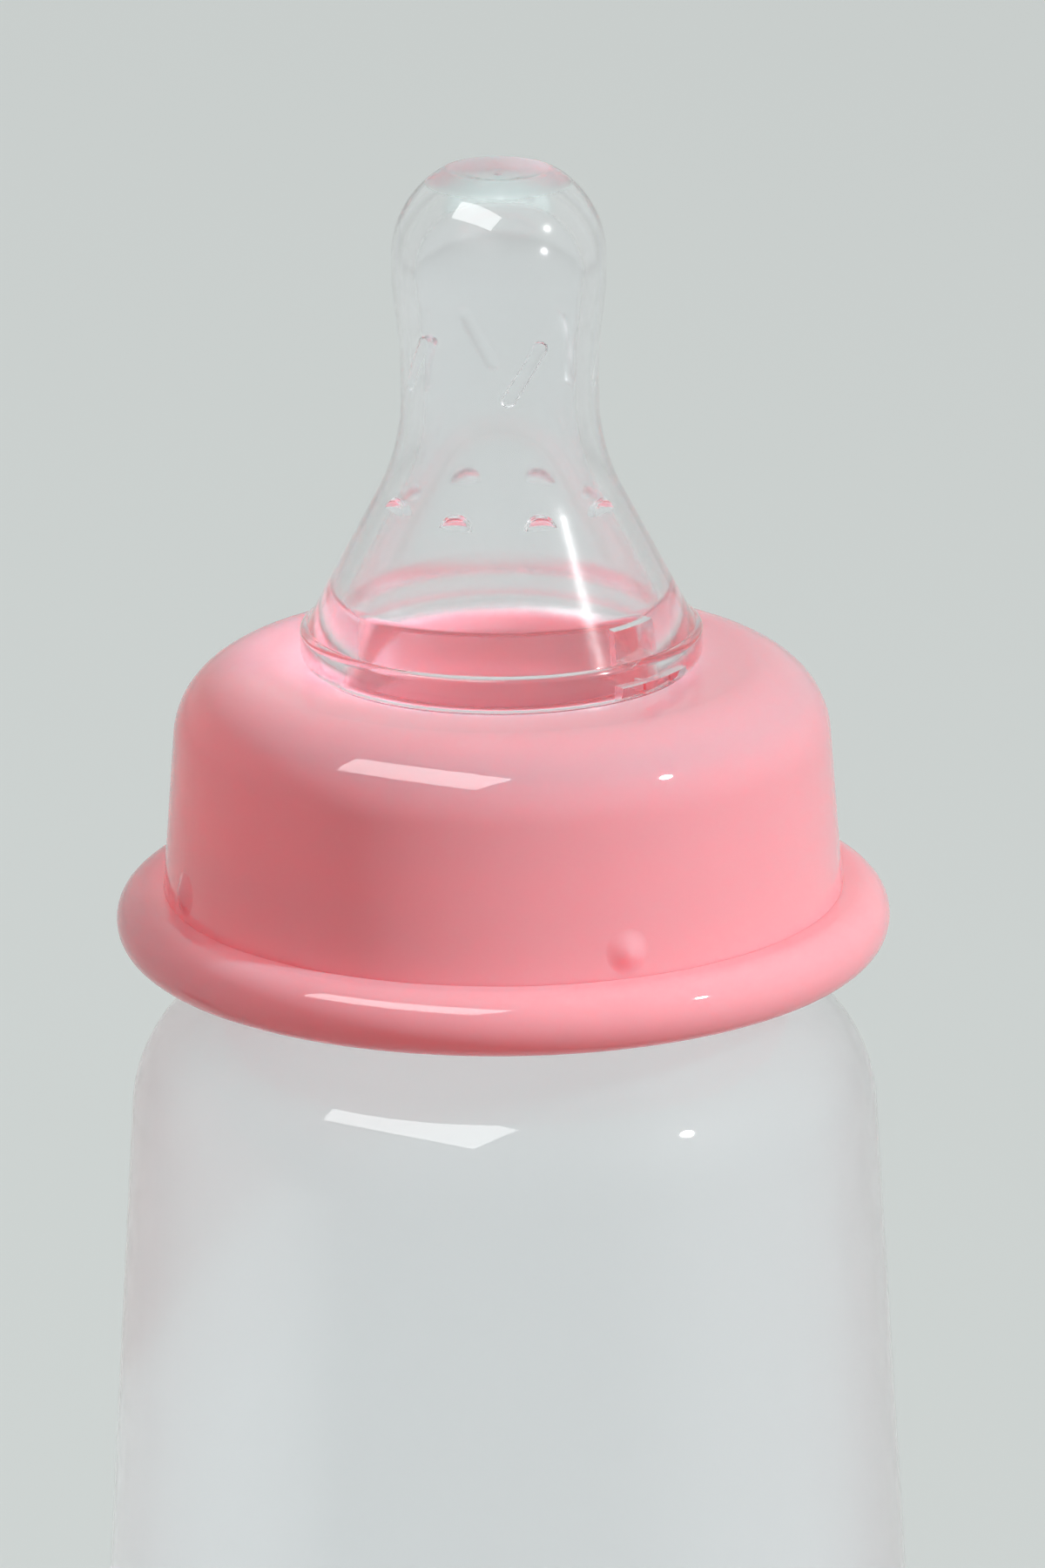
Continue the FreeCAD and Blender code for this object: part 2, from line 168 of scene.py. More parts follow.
def add_node(tree, kind, inputs=None, **options):
    """Add a node, set its options and fill its inputs. Gives its outputs as wires, by number and name."""
    made = tree.nodes.new(kind)
    for option, value in options.items():
        setattr(made, option, value)
    fill(made, inputs or {})
    wires = {}
    for number, socket in enumerate(made.outputs):
        wires[number] = Wire(socket)
        wires.setdefault(socket.name, wires[number])
    return wires


def add_sum(tree, operation, *values):
    """One Math node on values or wires, for sums that have no sign."""
    return add_node(tree, "ShaderNodeMath", dict(enumerate(values)), operation=operation)[0]


def add_vector(tree, x=0.0, y=0.0, z=0.0):
    """A vector of three values or wires."""
    return add_node(tree, "ShaderNodeCombineXYZ", {"X": x, "Y": y, "Z": z})["Vector"]


def add_ramp(tree, value, start, end, first=0.0, last=1.0, **options):
    """A value that goes from first to last while the given one goes from start to end."""
    return add_node(tree, "ShaderNodeMapRange", {
        "Value": value, "From Min": start, "From Max": end, "To Min": first, "To Max": last,
    }, **options)["Result"]


# %% Helpers for shape trees
def add_shape(tree, kind, inputs=None, **options):
    """One geometry node. Gives its first output, the shape or the field that it makes."""
    return add_node(tree, "GeometryNode" + kind, inputs, **options)[0]


def new_shape_tree(name, inputs):
    """A Geometry Nodes tree with named inputs, given as name and kind. Gives the tree and its inputs."""
    tree = bpy.data.node_groups.new(name, "GeometryNodeTree")
    tree.interface.new_socket("Geometry", in_out="OUTPUT", socket_type="NodeSocketGeometry")
    for label, kind in inputs.items():
        tree.interface.new_socket(label, in_out="INPUT", socket_type="NodeSocket" + kind)
    return tree, add_node(tree, "NodeGroupInput")


def end_shape_tree(tree, geometry):
    """Send the geometry to the tree's output."""
    add_node(tree, "NodeGroupOutput", {"Geometry": geometry})
    print("shape tree", tree.name, "has", len(tree.nodes), "nodes")
    return tree


def use_tree(tree, group, inputs):
    """Use one tree inside another. Gives its geometry."""
    return add_node(tree, "GeometryNodeGroup", inputs, node_tree=group)["Geometry"]


# %% [markdown]
# ## A turned skin
# A blow mould, an injection mould and a teat mould are all turned on a lathe, so the shape of each
# piece is one outline. Blender's Screw modifier or Spin could turn it, but then the roundings would
# have to be worked out as points. Here the outline is a curve with only its corners, and each point's
# radius holds the rounding of that corner. The tree rounds the corners with Fillet Curve, then sweeps
# the outline round a circle. Curve to Mesh points the outline's X outwards and its Y down, so the tree
# turns the outline over first and the faces after.

# %% Tree for a turned skin
SWEEP_R = 0.010
FINEST_ARC_STEPS = 6
COARSEST_ROUNDING = 0.006
COARSEST_ARC_STEPS = 24
WELD = 1e-6


def turned_skin_tree():
    """Round the corners of an outline and turn it about the axis."""
    tree, given = new_shape_tree("turned_skin", {"Outline": "Geometry", "Steps Around": "Int"})
    rounding = add_shape(tree, "InputRadius")
    arc_steps = add_ramp(tree, rounding, 0.0, COARSEST_ROUNDING, FINEST_ARC_STEPS, COARSEST_ARC_STEPS)
    rounded = add_shape(tree, "FilletCurve", {
        "Curve": given["Outline"],
        "Radius": rounding,
        "Limit Radius": True,
        "Count": arc_steps,
    }, mode="POLY")
    turned_over = add_shape(tree, "Transform", {
        "Geometry": rounded,
        "Translation": (-SWEEP_R, 0.0, 0.0),
        "Scale": (1.0, -1.0, 1.0),
    })
    circle = add_shape(tree, "CurvePrimitiveCircle", {
        "Resolution": given["Steps Around"], "Radius": SWEEP_R,
    })
    sweep = add_shape(tree, "SetCurveNormal", {"Curve": circle}, mode="Z_UP")
    skin = add_shape(tree, "CurveToMesh", {"Curve": sweep, "Profile Curve": turned_over})
    welded = add_shape(tree, "MergeByDistance", {"Geometry": skin, "Distance": WELD})
    return end_shape_tree(tree, add_shape(tree, "FlipFaces", {"Mesh": welded}))


turned_skin = turned_skin_tree()


def turned(tree, given):
    """Use the turned skin inside the tree of a piece."""
    return use_tree(tree, turned_skin, {name: given[name] for name in ("Outline", "Steps Around")})


# %% [markdown]
# ## A screw thread
# The neck carries one thin ridge that winds up it, and the collar has its partner inside. A thread
# could be cut with the Screw modifier, but it would end in a blunt step. Sweeping a small trapezium
# along a spiral is shorter, and the Scale input of Curve to Mesh lets the ridge sink into its wall at
# both ends, as the moulded one does.

# %% Tree for a screw thread
THREAD_PITCH = 0.0050
THREAD_DEPTH = 0.0011
THREAD_FOOT_WIDTH = 0.0024
THREAD_CREST_WIDTH = 0.0012
THREAD_BITE = 0.0005
THREAD_FADE = math.radians(40.0)
THREAD_FLANK = (THREAD_FOOT_WIDTH - THREAD_CREST_WIDTH) / THREAD_DEPTH
THREAD_STEPS_PER_TURN = 90
SMALLEST_END = 0.05
FULL_TURN = 2.0 * math.pi


def nearer_end(tree):
    """How far along a curve its nearer end is, as a share of the curve."""
    along = add_shape(tree, "SplineParameter")
    return add_sum(tree, "MINIMUM", along, 1.0 - along)


def screw_thread_tree():
    """A ridge that winds up a round wall. It stands outwards if Facing is 1, and inwards if it is -1."""
    tree, given = new_shape_tree("screw_thread", {
        "Wall Radius": "Float",
        "Facing": "Float",
        "Start Height": "Float",
        "Start Angle": "Float",
        "Turns": "Float",
    })
    spiral = add_shape(tree, "CurveSpiral", {
        "Resolution": THREAD_STEPS_PER_TURN,
        "Rotations": given["Turns"],
        "Start Radius": given["Wall Radius"],
        "End Radius": given["Wall Radius"],
        "Height": given["Turns"] * THREAD_PITCH,
        "Reverse": True,
    })
    from_x_axis = given["Start Angle"] - FULL_TURN / 4
    wound = add_shape(tree, "Transform", {
        "Geometry": spiral,
        "Translation": add_vector(tree, z=given["Start Height"]),
        "Rotation": add_vector(tree, z=from_x_axis),
    })
    path = add_shape(tree, "SetCurveNormal", {"Curve": wound}, mode="Z_UP")
    trapezium = add_shape(tree, "CurvePrimitiveQuadrilateral", {
        "Height": THREAD_DEPTH + THREAD_BITE,
        "Bottom Width": THREAD_FOOT_WIDTH + THREAD_FLANK * THREAD_BITE,
        "Top Width": THREAD_CREST_WIDTH,
        "Offset": 0.0,
    }, mode="TRAPEZOID")
    middle = given["Facing"] * ((THREAD_DEPTH - THREAD_BITE) / 2)
    quarter_back = given["Facing"] * (-FULL_TURN / 4)
    section = add_shape(tree, "Transform", {
        "Geometry": trapezium,
        "Translation": add_vector(tree, x=middle),
        "Rotation": add_vector(tree, z=quarter_back),
    })
    fades = given["Turns"] * (FULL_TURN / THREAD_FADE)
    fade = add_sum(tree, "MINIMUM", 1.0, nearer_end(tree) * fades)
    ridge = add_shape(tree, "CurveToMesh", {
        "Curve": path,
        "Profile Curve": section,
        "Scale": add_sum(tree, "MAXIMUM", fade, SMALLEST_END),
        "Fill Caps": True,
    })
    return end_shape_tree(tree, ridge)


screw_thread = screw_thread_tree()

# %% [markdown]
# ## Things that repeat about the axis
# The collar has four pips, and the teat four ribs and eight pads, each evenly spaced about the axis. An
# Array with an empty could repeat them. A row of points that all lie on the axis is simpler: each point
# turns its copy of the shape by its own number, so a count and a first angle say everything.

# %% Tree for a ring of copies
def ring_of_copies_tree():
    """Evenly spaced copies of a shape about the axis, counted from the front towards +X."""
    tree, given = new_shape_tree("ring_of_copies", {
        "Shape": "Geometry", "Count": "Int", "First Angle": "Float",
    })
    number = add_shape(tree, "InputIndex")
    step = FULL_TURN / given["Count"]
    angle = given["First Angle"] + number * step
    copies = add_shape(tree, "InstanceOnPoints", {
        "Points": add_shape(tree, "Points", {"Count": given["Count"]}),
        "Instance": given["Shape"],
        "Rotation": add_vector(tree, z=angle),
    })
    real = add_shape(tree, "RealizeInstances", {"Geometry": copies})
    return end_shape_tree(tree, real)


ring_of_copies = ring_of_copies_tree()


def ring(tree, shape, count, first_angle):
    """Use the ring of copies inside another tree."""
    return use_tree(tree, ring_of_copies, {"Shape": shape, "Count": count, "First Angle": first_angle})


# %% [markdown]
# ## Joining, finishing and keeping a piece
# A moulding is one skin, so what stands on it is united with it and what is sunk into it is taken away.
# The Manifold solver does that fast and exactly for closed shapes. Every tree ends the same way: copies
# are made real, faces are smooth except over true corners, and the finish is set. The result is then
# kept as a plain mesh. Smooth shading alone bends a long straight wall towards the small roundings at
# its ends, and lamps mirrored in it would bend too, so a Weighted Normal modifier lets the large faces
# decide.

# %% Joining and finishing a piece
CORNER_ANGLE = math.radians(32.0)


def unite(tree, *shapes):
    """One skin around several closed shapes."""
    return add_shape(tree, "MeshBoolean", {1: list(shapes)}, operation="UNION", solver="MANIFOLD")


def take_away(tree, shape, *cuts):
    """A closed shape with others cut out of it."""
    return add_shape(
        tree, "MeshBoolean", {0: shape, 1: list(cuts)}, operation="DIFFERENCE", solver="MANIFOLD"
    )


def finish_tree(tree, shape, finish):
    """Make copies real, shade the faces and set the finish."""
    real = add_shape(tree, "RealizeInstances", {"Geometry": shape})
    smooth = add_shape(tree, "SetShadeSmooth", {"Geometry": real, "Shade Smooth": True}, domain="FACE")
    bend = add_shape(tree, "InputMeshEdgeAngle")
    crisp = add_shape(tree, "SetShadeSmooth", {
        "Geometry": smooth,
        "Selection": add_sum(tree, "GREATER_THAN", bend, CORNER_ANGLE),
        "Shade Smooth": False,
    }, domain="EDGE")
    coloured = add_shape(tree, "SetMaterial", {"Geometry": crisp, "Material": finish})
    return end_shape_tree(tree, coloured)


# %% Keeping a piece as a plain mesh
def outline_curve(name, corners, closed):
    """A curve through corners, each given by its radius from the axis, its height and its rounding."""
    curve = bpy.data.curves.new(name, "CURVE")
    curve.dimensions = "3D"
    spline = curve.splines.new("POLY")
    spline.points.add(len(corners) - 1)
    for point, (radius, height, rounding) in zip(spline.points, corners):
        point.co = (radius, height, 0.0, 1.0)
        point.radius = rounding
    spline.use_cyclic_u = closed
    return add_object(name, curve)


def plain_mesh(name, thing):
    """What an object's modifiers make of it, as a plain mesh."""
    depsgraph = bpy.context.evaluated_depsgraph_get()
    mesh = bpy.data.meshes.new_from_object(thing.evaluated_get(depsgraph), depsgraph=depsgraph)
    mesh.name = name
    return mesh


def even_normals(piece):
    """Let large faces decide how light meets the corners that they share with small ones."""
    evened = piece.modifiers.new("even_normals", "WEIGHTED_NORMAL")
    evened.keep_sharp = True
    mesh = plain_mesh(piece.name, piece)
    piece.modifiers.remove(evened)
    piece.data = mesh


def grow(name, source, tree, sizes):
    """Run a tree on an object with these inputs, and keep the result as a plain mesh."""
    modifier = source.modifiers.new(tree.name, "NODES")
    modifier.node_group = tree
    for socket in tree.interface.items_tree:
        if socket.in_out == "INPUT" and socket.name in sizes:
            modifier[socket.identifier] = sizes[socket.name]
    mesh = plain_mesh(name, source)
    source.modifiers.remove(modifier)
    bpy.data.objects.remove(source)
    piece = add_object(name, mesh)
    even_normals(piece)
    triangles = sum(len(face.vertices) - 2 for face in piece.data.polygons)
    print(name, "has", triangles, "triangles")
    return piece


# %% [markdown]
# ## Bending about the axis
# Pips, marks, numbers and ribs all lie on round walls. Each could be turned into place with its own
# matrix, but then it would stay flat. One helper bends any position instead: an angle from the front, a
# radius and a height become a point.

# %% Bending about the axis
def around_axis(tree, angle, radius, height):
    """The position at an angle from the front towards +X, a radius and a height."""
    sideways = radius * add_sum(tree, "SINE", angle)
    forwards = radius * add_sum(tree, "COSINE", angle)
    return add_vector(tree, sideways, forwards * -1.0, height)


def own_position(tree):
    """X, Y and Z of each point, before it is moved."""
    position = add_shape(tree, "InputPosition")
    return add_node(tree, "ShaderNodeSeparateXYZ", {"Vector": position})


def move_to(tree, shape, position):
    """The shape with its points moved to new positions."""
    return add_shape(tree, "SetPosition", {"Geometry": shape, "Position": position})


# %% [markdown]
# ## The skin of a moulding
# All three pieces come out of polished moulds. Under a lamp, such a skin isn't perfectly even: the melt
# leaves slow clouds in the colour, drawn out along the way it flowed, and the surface has a very fine
# orange peel. Three materials need this, so it is one node group with its own sizes in each, and it
# gives two masks that change over the surface. Object coordinates keep the pattern on the piece as it
# moves.

# %% Node group for the skin of a moulding
CLOUD_DETAIL = 3.0
CLOUD_ROUGHNESS = 0.55
CLOUD_LOW = 0.3
CLOUD_HIGH = 0.7
PEEL_DETAIL = 2.0


def moulded_skin_group():
    """Slow clouds and fine peel, each from 0 to 1."""
    group = bpy.data.node_groups.new("moulded_skin", "ShaderNodeTree")
    for label in ("Cloud Size", "Flow Stretch", "Peel Size"):
        group.interface.new_socket(label, in_out="INPUT", socket_type="NodeSocketFloat")
    for label in ("Cloud", "Peel"):
        group.interface.new_socket(label, in_out="OUTPUT", socket_type="NodeSocketFloat")
    given = add_node(group, "NodeGroupInput")
    place = add_node(group, "ShaderNodeTexCoord")["Object"]
    squeeze = 1.0 / given["Flow Stretch"]
    flow = add_vector(group, 1.0, 1.0, squeeze)
    drawn_out = add_node(group, "ShaderNodeVectorMath", {0: place, 1: flow}, operation="MULTIPLY")[0]
    cloud = add_node(group, "ShaderNodeTexNoise", {
        "Vector": drawn_out,
        "Scale": 1.0 / given["Cloud Size"],
        "Detail": CLOUD_DETAIL,
        "Roughness": CLOUD_ROUGHNESS,
    })["Fac"]
    peel = add_node(group, "ShaderNodeTexNoise", {
        "Vector": place,
        "Scale": 1.0 / given["Peel Size"],
        "Detail": PEEL_DETAIL,
    })["Fac"]
    clear_cloud = add_ramp(group, cloud, CLOUD_LOW, CLOUD_HIGH)
    add_node(group, "NodeGroupOutput", {"Cloud": clear_cloud, "Peel": peel})
    return group


moulded_skin = moulded_skin_group()
print("finish group", moulded_skin.name)

# %% [markdown]
# ## The finish of a moulding
# A finish could be one colour and one roughness, but it would look like a computer's plastic. Each
# finish here mixes two near colours by the clouds, lets the peel move the roughness a little, and
# presses the peel into the surface with a Bump node. What is the same all over is set on the Principled
# shader itself.

# %% Finish of a moulding
MIX_FIRST_COLOUR = 6
MIX_SECOND_COLOUR = 7
MIX_RESULT = 2


def mix_colours(tree, share, first, second):
    """The first colour where the share is 0, and the second where it is 1."""
    return add_node(tree, "ShaderNodeMix", {
        "Factor": share, MIX_FIRST_COLOUR: first, MIX_SECOND_COLOUR: second,
    }, data_type="RGBA")[MIX_RESULT]


def moulded_finish(name, skin_sizes, colours, roughness, peel_depth, plain):
    """A Principled material on the skin group. plain holds what is the same all over the piece."""
    material = bpy.data.materials.new(name)
    material.use_nodes = True
    tree = material.node_tree
    skin = add_node(tree, "ShaderNodeGroup", skin_sizes, node_tree=moulded_skin)
    peel = add_node(tree, "ShaderNodeBump", {
        "Height": skin["Peel"], "Strength": 1.0, "Distance": peel_depth,
    })
    fill(tree.nodes["Principled BSDF"], {
        "Base Color": mix_colours(tree, skin["Cloud"], *colours),
        "Roughness": add_ramp(tree, skin["Peel"], 0.0, 1.0, *roughness),
        "Normal": peel["Normal"],
        **plain,
    })
    print("finish", name)
    return material


# %% Lamps through a wall and gloss on it
def let_lamps_through(material, tint):
    """Rays from lamps meet a plain tint here, so that they reach what lies behind the wall."""
    tree = material.node_tree
    lamp_ray = add_node(tree, "ShaderNodeLightPath")["Is Shadow Ray"]
    solid = Wire(tree.nodes["Principled BSDF"].outputs["BSDF"])
    clear = add_node(tree, "ShaderNodeBsdfTransparent", {"Color": tint})["BSDF"]
    either = add_node(tree, "ShaderNodeMixShader", {0: lamp_ray, 1: solid, 2: clear})["Shader"]
    fill(tree.nodes["Material Output"], {"Surface": either})


def gloss_outside(material):
    """A clear coat on the outside alone. Met from within, it would hold light back."""
    tree = material.node_tree
    from_within = add_node(tree, "ShaderNodeNewGeometry")["Backfacing"]
    fill(tree.nodes["Principled BSDF"], {"Coat Weight": 1.0 - from_within})


# %% [markdown]
# ## Pink collar plastic
# The collar is glossy polypropylene in a soft pink. Light goes a little way into it, and red goes
# furthest, so its shaded side stays warm and deep while its lit side is pale. That is subsurface
# scattering with a longer reach for red, under a smooth skin that shows the lamps clearly. Some red
# light even comes out on the inside of the ring, where it is seen through the teat, so rays from lamps
# pass the wall with a red tint.

# %% Pink collar plastic
pink_plastic = moulded_finish(
    "pink_plastic",
    skin_sizes={"Cloud Size": 0.018, "Flow Stretch": 2.0, "Peel Size": 0.0012},
    colours=((0.94, 0.39, 0.44, 1.0), (0.97, 0.42, 0.47, 1.0)),
    roughness=(0.02, 0.04),
    peel_depth=0.000002,
    plain={
        "IOR": 1.49,
        "Subsurface Weight": 1.0,
        "Subsurface Radius": (1.0, 0.15, 0.15),
        "Subsurface Scale": 0.007,
    },
)
let_lamps_through(pink_plastic, tint=(0.75, 0.5, 0.5, 1.0))

# %% [markdown]
# ## The screw collar
# The collar is an injection-moulded ring: a skirt with a little draft, a well rounded shoulder, a flat
# top with the teat's hole, a rolled lip that stands out below, four small pips that a travel hood snaps
# over, and the thread inside. It could be cut from a cylinder, step by step. Turning its outline gives
# all the round parts at once, and then only the thread and the pips are left to be united with it. Its
# sizes start from the bottle's neck, which it has to fit.

# %% Sizes of the screw collar
NECK_BORE_R = 0.0170
NECK_WALL = 0.0018
NECK_HEIGHT = 0.01765
BODY_HEIGHT = 0.1276
NECK_THREAD_TURNS = 1.4
NECK_THREAD_BELOW_RIM = 0.0026
THREAD_CREST_GAP = 0.00035
THREAD_FLANK_GAP = 0.0004
COLLAR_THREAD_TURNS = 1.25
COLLAR_SKIRT_GAP = 0.0012
COLLAR_WALL = 0.00262
COLLAR_DRAFT = math.radians(4.25)
COLLAR_TOP_THICKNESS = 0.0018
COLLAR_SHOULDER_ROUND = 0.0053
COLLAR_INNER_ROUND = 0.0012
COLLAR_EDGE_ROUND = 0.0005
LIP_REACH = 0.0032
LIP_HEIGHT = 0.0044
PIP_COUNT = 4
PIP_FIRST_ANGLE = math.radians(21.0)
PIP_ABOVE_LIP = 0.0018
PIP_FOOT_R = 0.0016
PIP_HEIGHT = 0.0005
PIP_BITE = 0.0003
PIP_SINK = 0.000004
PIP_STEPS = 49
SEAT_GAP = 0.00005
GROOVE_GAP = 0.0002
TEAT_FLANGE_THICKNESS = 0.0016
TEAT_GROOVE_R = 0.0122

SPARE_TURNS = (NECK_THREAD_TURNS - COLLAR_THREAD_TURNS) / 2
NECK_R = NECK_BORE_R + NECK_WALL
RIM_Z = BODY_HEIGHT + NECK_HEIGHT
NECK_THREAD_LOW_Z = RIM_Z - NECK_THREAD_BELOW_RIM - THREAD_PITCH * NECK_THREAD_TURNS
COLLAR_BORE_R = NECK_R + THREAD_DEPTH + THREAD_CREST_GAP
COLLAR_SKIRT_R = COLLAR_BORE_R + COLLAR_WALL
COLLAR_HOLE_R = TEAT_GROOVE_R + GROOVE_GAP
COLLAR_LOW_Z = BODY_HEIGHT + COLLAR_SKIRT_GAP
LIP_TOP_Z = COLLAR_LOW_Z + LIP_HEIGHT
FLANGE_LOW_Z = RIM_Z + SEAT_GAP
FLANGE_TOP_Z = FLANGE_LOW_Z + TEAT_FLANGE_THICKNESS
COLLAR_CEILING_Z = FLANGE_TOP_Z + SEAT_GAP
COLLAR_TOP_Z = COLLAR_CEILING_Z + COLLAR_TOP_THICKNESS
print("collar from", round(COLLAR_LOW_Z, 5), "to", round(COLLAR_TOP_Z, 5))


# %% Outline, thread and pips of the screw collar
def collar_wall_radius(height):
    """Outer radius of the drafted skirt."""
    return COLLAR_SKIRT_R - (height - LIP_TOP_Z) * math.tan(COLLAR_DRAFT)


def collar_outline():
    """Corners of the collar's section, from the foot of its bore outwards and up."""
    lip_round = LIP_HEIGHT / 2
    return [
        (COLLAR_BORE_R, COLLAR_LOW_Z, COLLAR_EDGE_ROUND),
        (COLLAR_SKIRT_R + LIP_REACH, COLLAR_LOW_Z, lip_round),
        (COLLAR_SKIRT_R + LIP_REACH, LIP_TOP_Z, lip_round),
        (COLLAR_SKIRT_R, LIP_TOP_Z, 0.0),
        (collar_wall_radius(COLLAR_TOP_Z), COLLAR_TOP_Z, COLLAR_SHOULDER_ROUND),
        (COLLAR_HOLE_R, COLLAR_TOP_Z, COLLAR_EDGE_ROUND),
        (COLLAR_HOLE_R, COLLAR_CEILING_Z, COLLAR_EDGE_ROUND),
        (COLLAR_BORE_R, COLLAR_CEILING_Z, COLLAR_INNER_ROUND),
    ]


def collar_thread_low_z():
    """Wound tight, the collar's thread bears up against the underside of the neck's thread."""
    overlap = THREAD_DEPTH - THREAD_CREST_GAP
    engaged_width = THREAD_CREST_WIDTH * 2 + THREAD_FLANK * overlap
    return NECK_THREAD_LOW_Z - engaged_width / 2 - THREAD_FLANK_GAP


def soft_pip(tree):
    """A low swelling at the front of the skirt: a thin block whose outer side swells in the middle."""
    block = add_shape(tree, "MeshCube", {
        "Size": (1.0, 1.0, 1.0), "Vertices X": PIP_STEPS, "Vertices Z": PIP_STEPS,
    })
    own = own_position(tree)
    across = own["X"] * (2.0 * PIP_FOOT_R)
    up = own["Z"] * (2.0 * PIP_FOOT_R)
    squares = across * across + up * up
    from_middle = add_sum(tree, "SQRT", squares)
    swelling = add_ramp(
        tree, from_middle, 0.0, PIP_FOOT_R, PIP_HEIGHT, 0.0, interpolation_type="SMOOTHSTEP"
    )
    outer_side = add_sum(tree, "LESS_THAN", own["Y"], 0.0)
    above_bite = outer_side * (swelling + (PIP_BITE - PIP_SINK))
    pip_z = LIP_TOP_Z + PIP_ABOVE_LIP
    pip_r = collar_wall_radius(pip_z)
    wall = up * -math.tan(COLLAR_DRAFT) + (pip_r - PIP_BITE)
    angle = across / pip_r
    radius = wall + above_bite
    height = up + pip_z
    return move_to(tree, block, around_axis(tree, angle, radius, height))


# %% Screw collar
STEPS_AROUND = 192


def collar_tree():
    """The turned collar with its thread and pips."""
    tree, given = new_shape_tree("screw_collar_shape", {
        "Outline": "Geometry",
        "Steps Around": "Int",
        "Thread Start": "Float",
        "Pip Count": "Int",
        "First Pip": "Float",
        "Finish": "Material",
    })
    skin = turned(tree, given)
    thread = use_tree(tree, screw_thread, {
        "Wall Radius": COLLAR_BORE_R,
        "Facing": -1.0,
        "Start Height": given["Thread Start"],
        "Start Angle": SPARE_TURNS * FULL_TURN,
        "Turns": COLLAR_THREAD_TURNS,
    })
    pips = ring(tree, soft_pip(tree), given["Pip Count"], given["First Pip"])
    return finish_tree(tree, unite(tree, skin, thread, pips), given["Finish"])


collar_section = outline_curve("collar_outline", collar_outline(), closed=True)
collar_ring = grow("collar_ring", collar_section, collar_tree(), {
    "Steps Around": STEPS_AROUND,
    "Thread Start": collar_thread_low_z() + SPARE_TURNS * THREAD_PITCH,
    "Pip Count": PIP_COUNT,
    "First Pip": PIP_FIRST_ANGLE,
    "Finish": pink_plastic,
})
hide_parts("screw_collar")
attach(collar_ring, "collar")

# %% [markdown]
# ## Milky bottle plastic
# The bottle is natural polypropylene. It isn't clear: light that goes in is scattered many times, so
# the wall takes on the colour of what lies behind it and nothing inside shows sharply. Scattering below
# the skin could give that, but in so thin a wall it leaves specks. A very rough transmission with a low
# bending of light looks the same and stays clean, and a little white shows where lamps strike it. The
# polished outside is a clear coat. Rays from lamps lose a part of their light at each wall, so the
# bottle throws a pale shadow on the floor.

# %% Milky bottle plastic
milky_plastic = moulded_finish(
    "milky_plastic",
    skin_sizes={"Cloud Size": 0.03, "Flow Stretch": 4.0, "Peel Size": 0.0015},
    colours=((0.967, 0.983, 0.995, 1.0), (0.977, 0.99, 1.0, 1.0)),
    roughness=(0.50, 0.60),
    peel_depth=0.000004,
    plain={
        "IOR": 1.15,
        "Transmission Weight": 0.97,
        "Coat Roughness": 0.03,
        "Coat IOR": 1.42,
    },
)
let_lamps_through(milky_plastic, tint=(0.86, 0.86, 0.86, 1.0))
gloss_outside(milky_plastic)

# %% [markdown]
# ## The bottle
# The bottle is blow-moulded in one go, with a ring to stand on, a pushed-up base, a tapered side wall,
# a shoulder and a neck with a thread. A measuring scale is sunk into its back, as on most feeding
# bottles. The bars sit where the feed would reach, so their heights come from adding up the bottle's
# own volume in thin slices.

# %% Sizes of the bottle
BOTTLE_WALL = 0.0016
NECK_EDGE_ROUND = 0.0006
SHOULDER_STEP = 0.0062
SHOULDER_DROP = 0.0062
SHOULDER_ROUND = 0.0095
TAPER_STEP = 0.0040
TAPER_LENGTH = 0.0652
TAPER_BLEND_ROUND = 0.250
BASE_ROUND = 0.0060
STANDING_RING_WIDTH = 0.0050
PUSH_UP_HEIGHT = 0.0024
PUSH_UP_SLOPE_WIDTH = 0.0070
PUSH_UP_ROUND = 0.0030
WALL_TOP_R = NECK_R + SHOULDER_STEP
WALL_TOP_Z = BODY_HEIGHT - SHOULDER_DROP
BODY_R = WALL_TOP_R + TAPER_STEP
TAPER_LOW_Z = WALL_TOP_Z - TAPER_LENGTH


# %% Outline of the bottle
def bottle_outline():
    """Corners of the bottle's section, from under the base outwards, up, and back down the inside."""
    slope = SHOULDER_DROP / SHOULDER_STEP
    under = BOTTLE_WALL * math.hypot(1.0, slope)
    bore_foot_z = BODY_HEIGHT + NECK_WALL * slope - under
    inner_top_z = WALL_TOP_Z + BOTTLE_WALL * slope - under
    inner_r = BODY_R - BOTTLE_WALL
    ring_inner_r = BODY_R - BASE_ROUND - STANDING_RING_WIDTH
    disc_r = ring_inner_r - PUSH_UP_SLOPE_WIDTH
    floor_z = PUSH_UP_HEIGHT + BOTTLE_WALL
    return [
        (0.0, PUSH_UP_HEIGHT, 0.0),
        (disc_r, PUSH_UP_HEIGHT, PUSH_UP_ROUND),
        (ring_inner_r, 0.0, PUSH_UP_ROUND),
        (BODY_R, 0.0, BASE_ROUND),
        (BODY_R, TAPER_LOW_Z, TAPER_BLEND_ROUND),
        (WALL_TOP_R, WALL_TOP_Z, SHOULDER_ROUND),
        (NECK_R, BODY_HEIGHT, NECK_EDGE_ROUND),
        (NECK_R, RIM_Z, NECK_EDGE_ROUND),
        (NECK_BORE_R, RIM_Z, NECK_EDGE_ROUND),
        (NECK_BORE_R, bore_foot_z, NECK_EDGE_ROUND),
        (WALL_TOP_R - BOTTLE_WALL, inner_top_z, SHOULDER_ROUND - BOTTLE_WALL),
        (inner_r, TAPER_LOW_Z, TAPER_BLEND_ROUND),
        (inner_r, BOTTLE_WALL, BASE_ROUND - BOTTLE_WALL),
        (ring_inner_r, BOTTLE_WALL, PUSH_UP_ROUND),
        (disc_r, floor_z, PUSH_UP_ROUND),
        (0.0, floor_z, 0.0),
    ]


print("bottle radius", BODY_R, "rim height", RIM_Z)

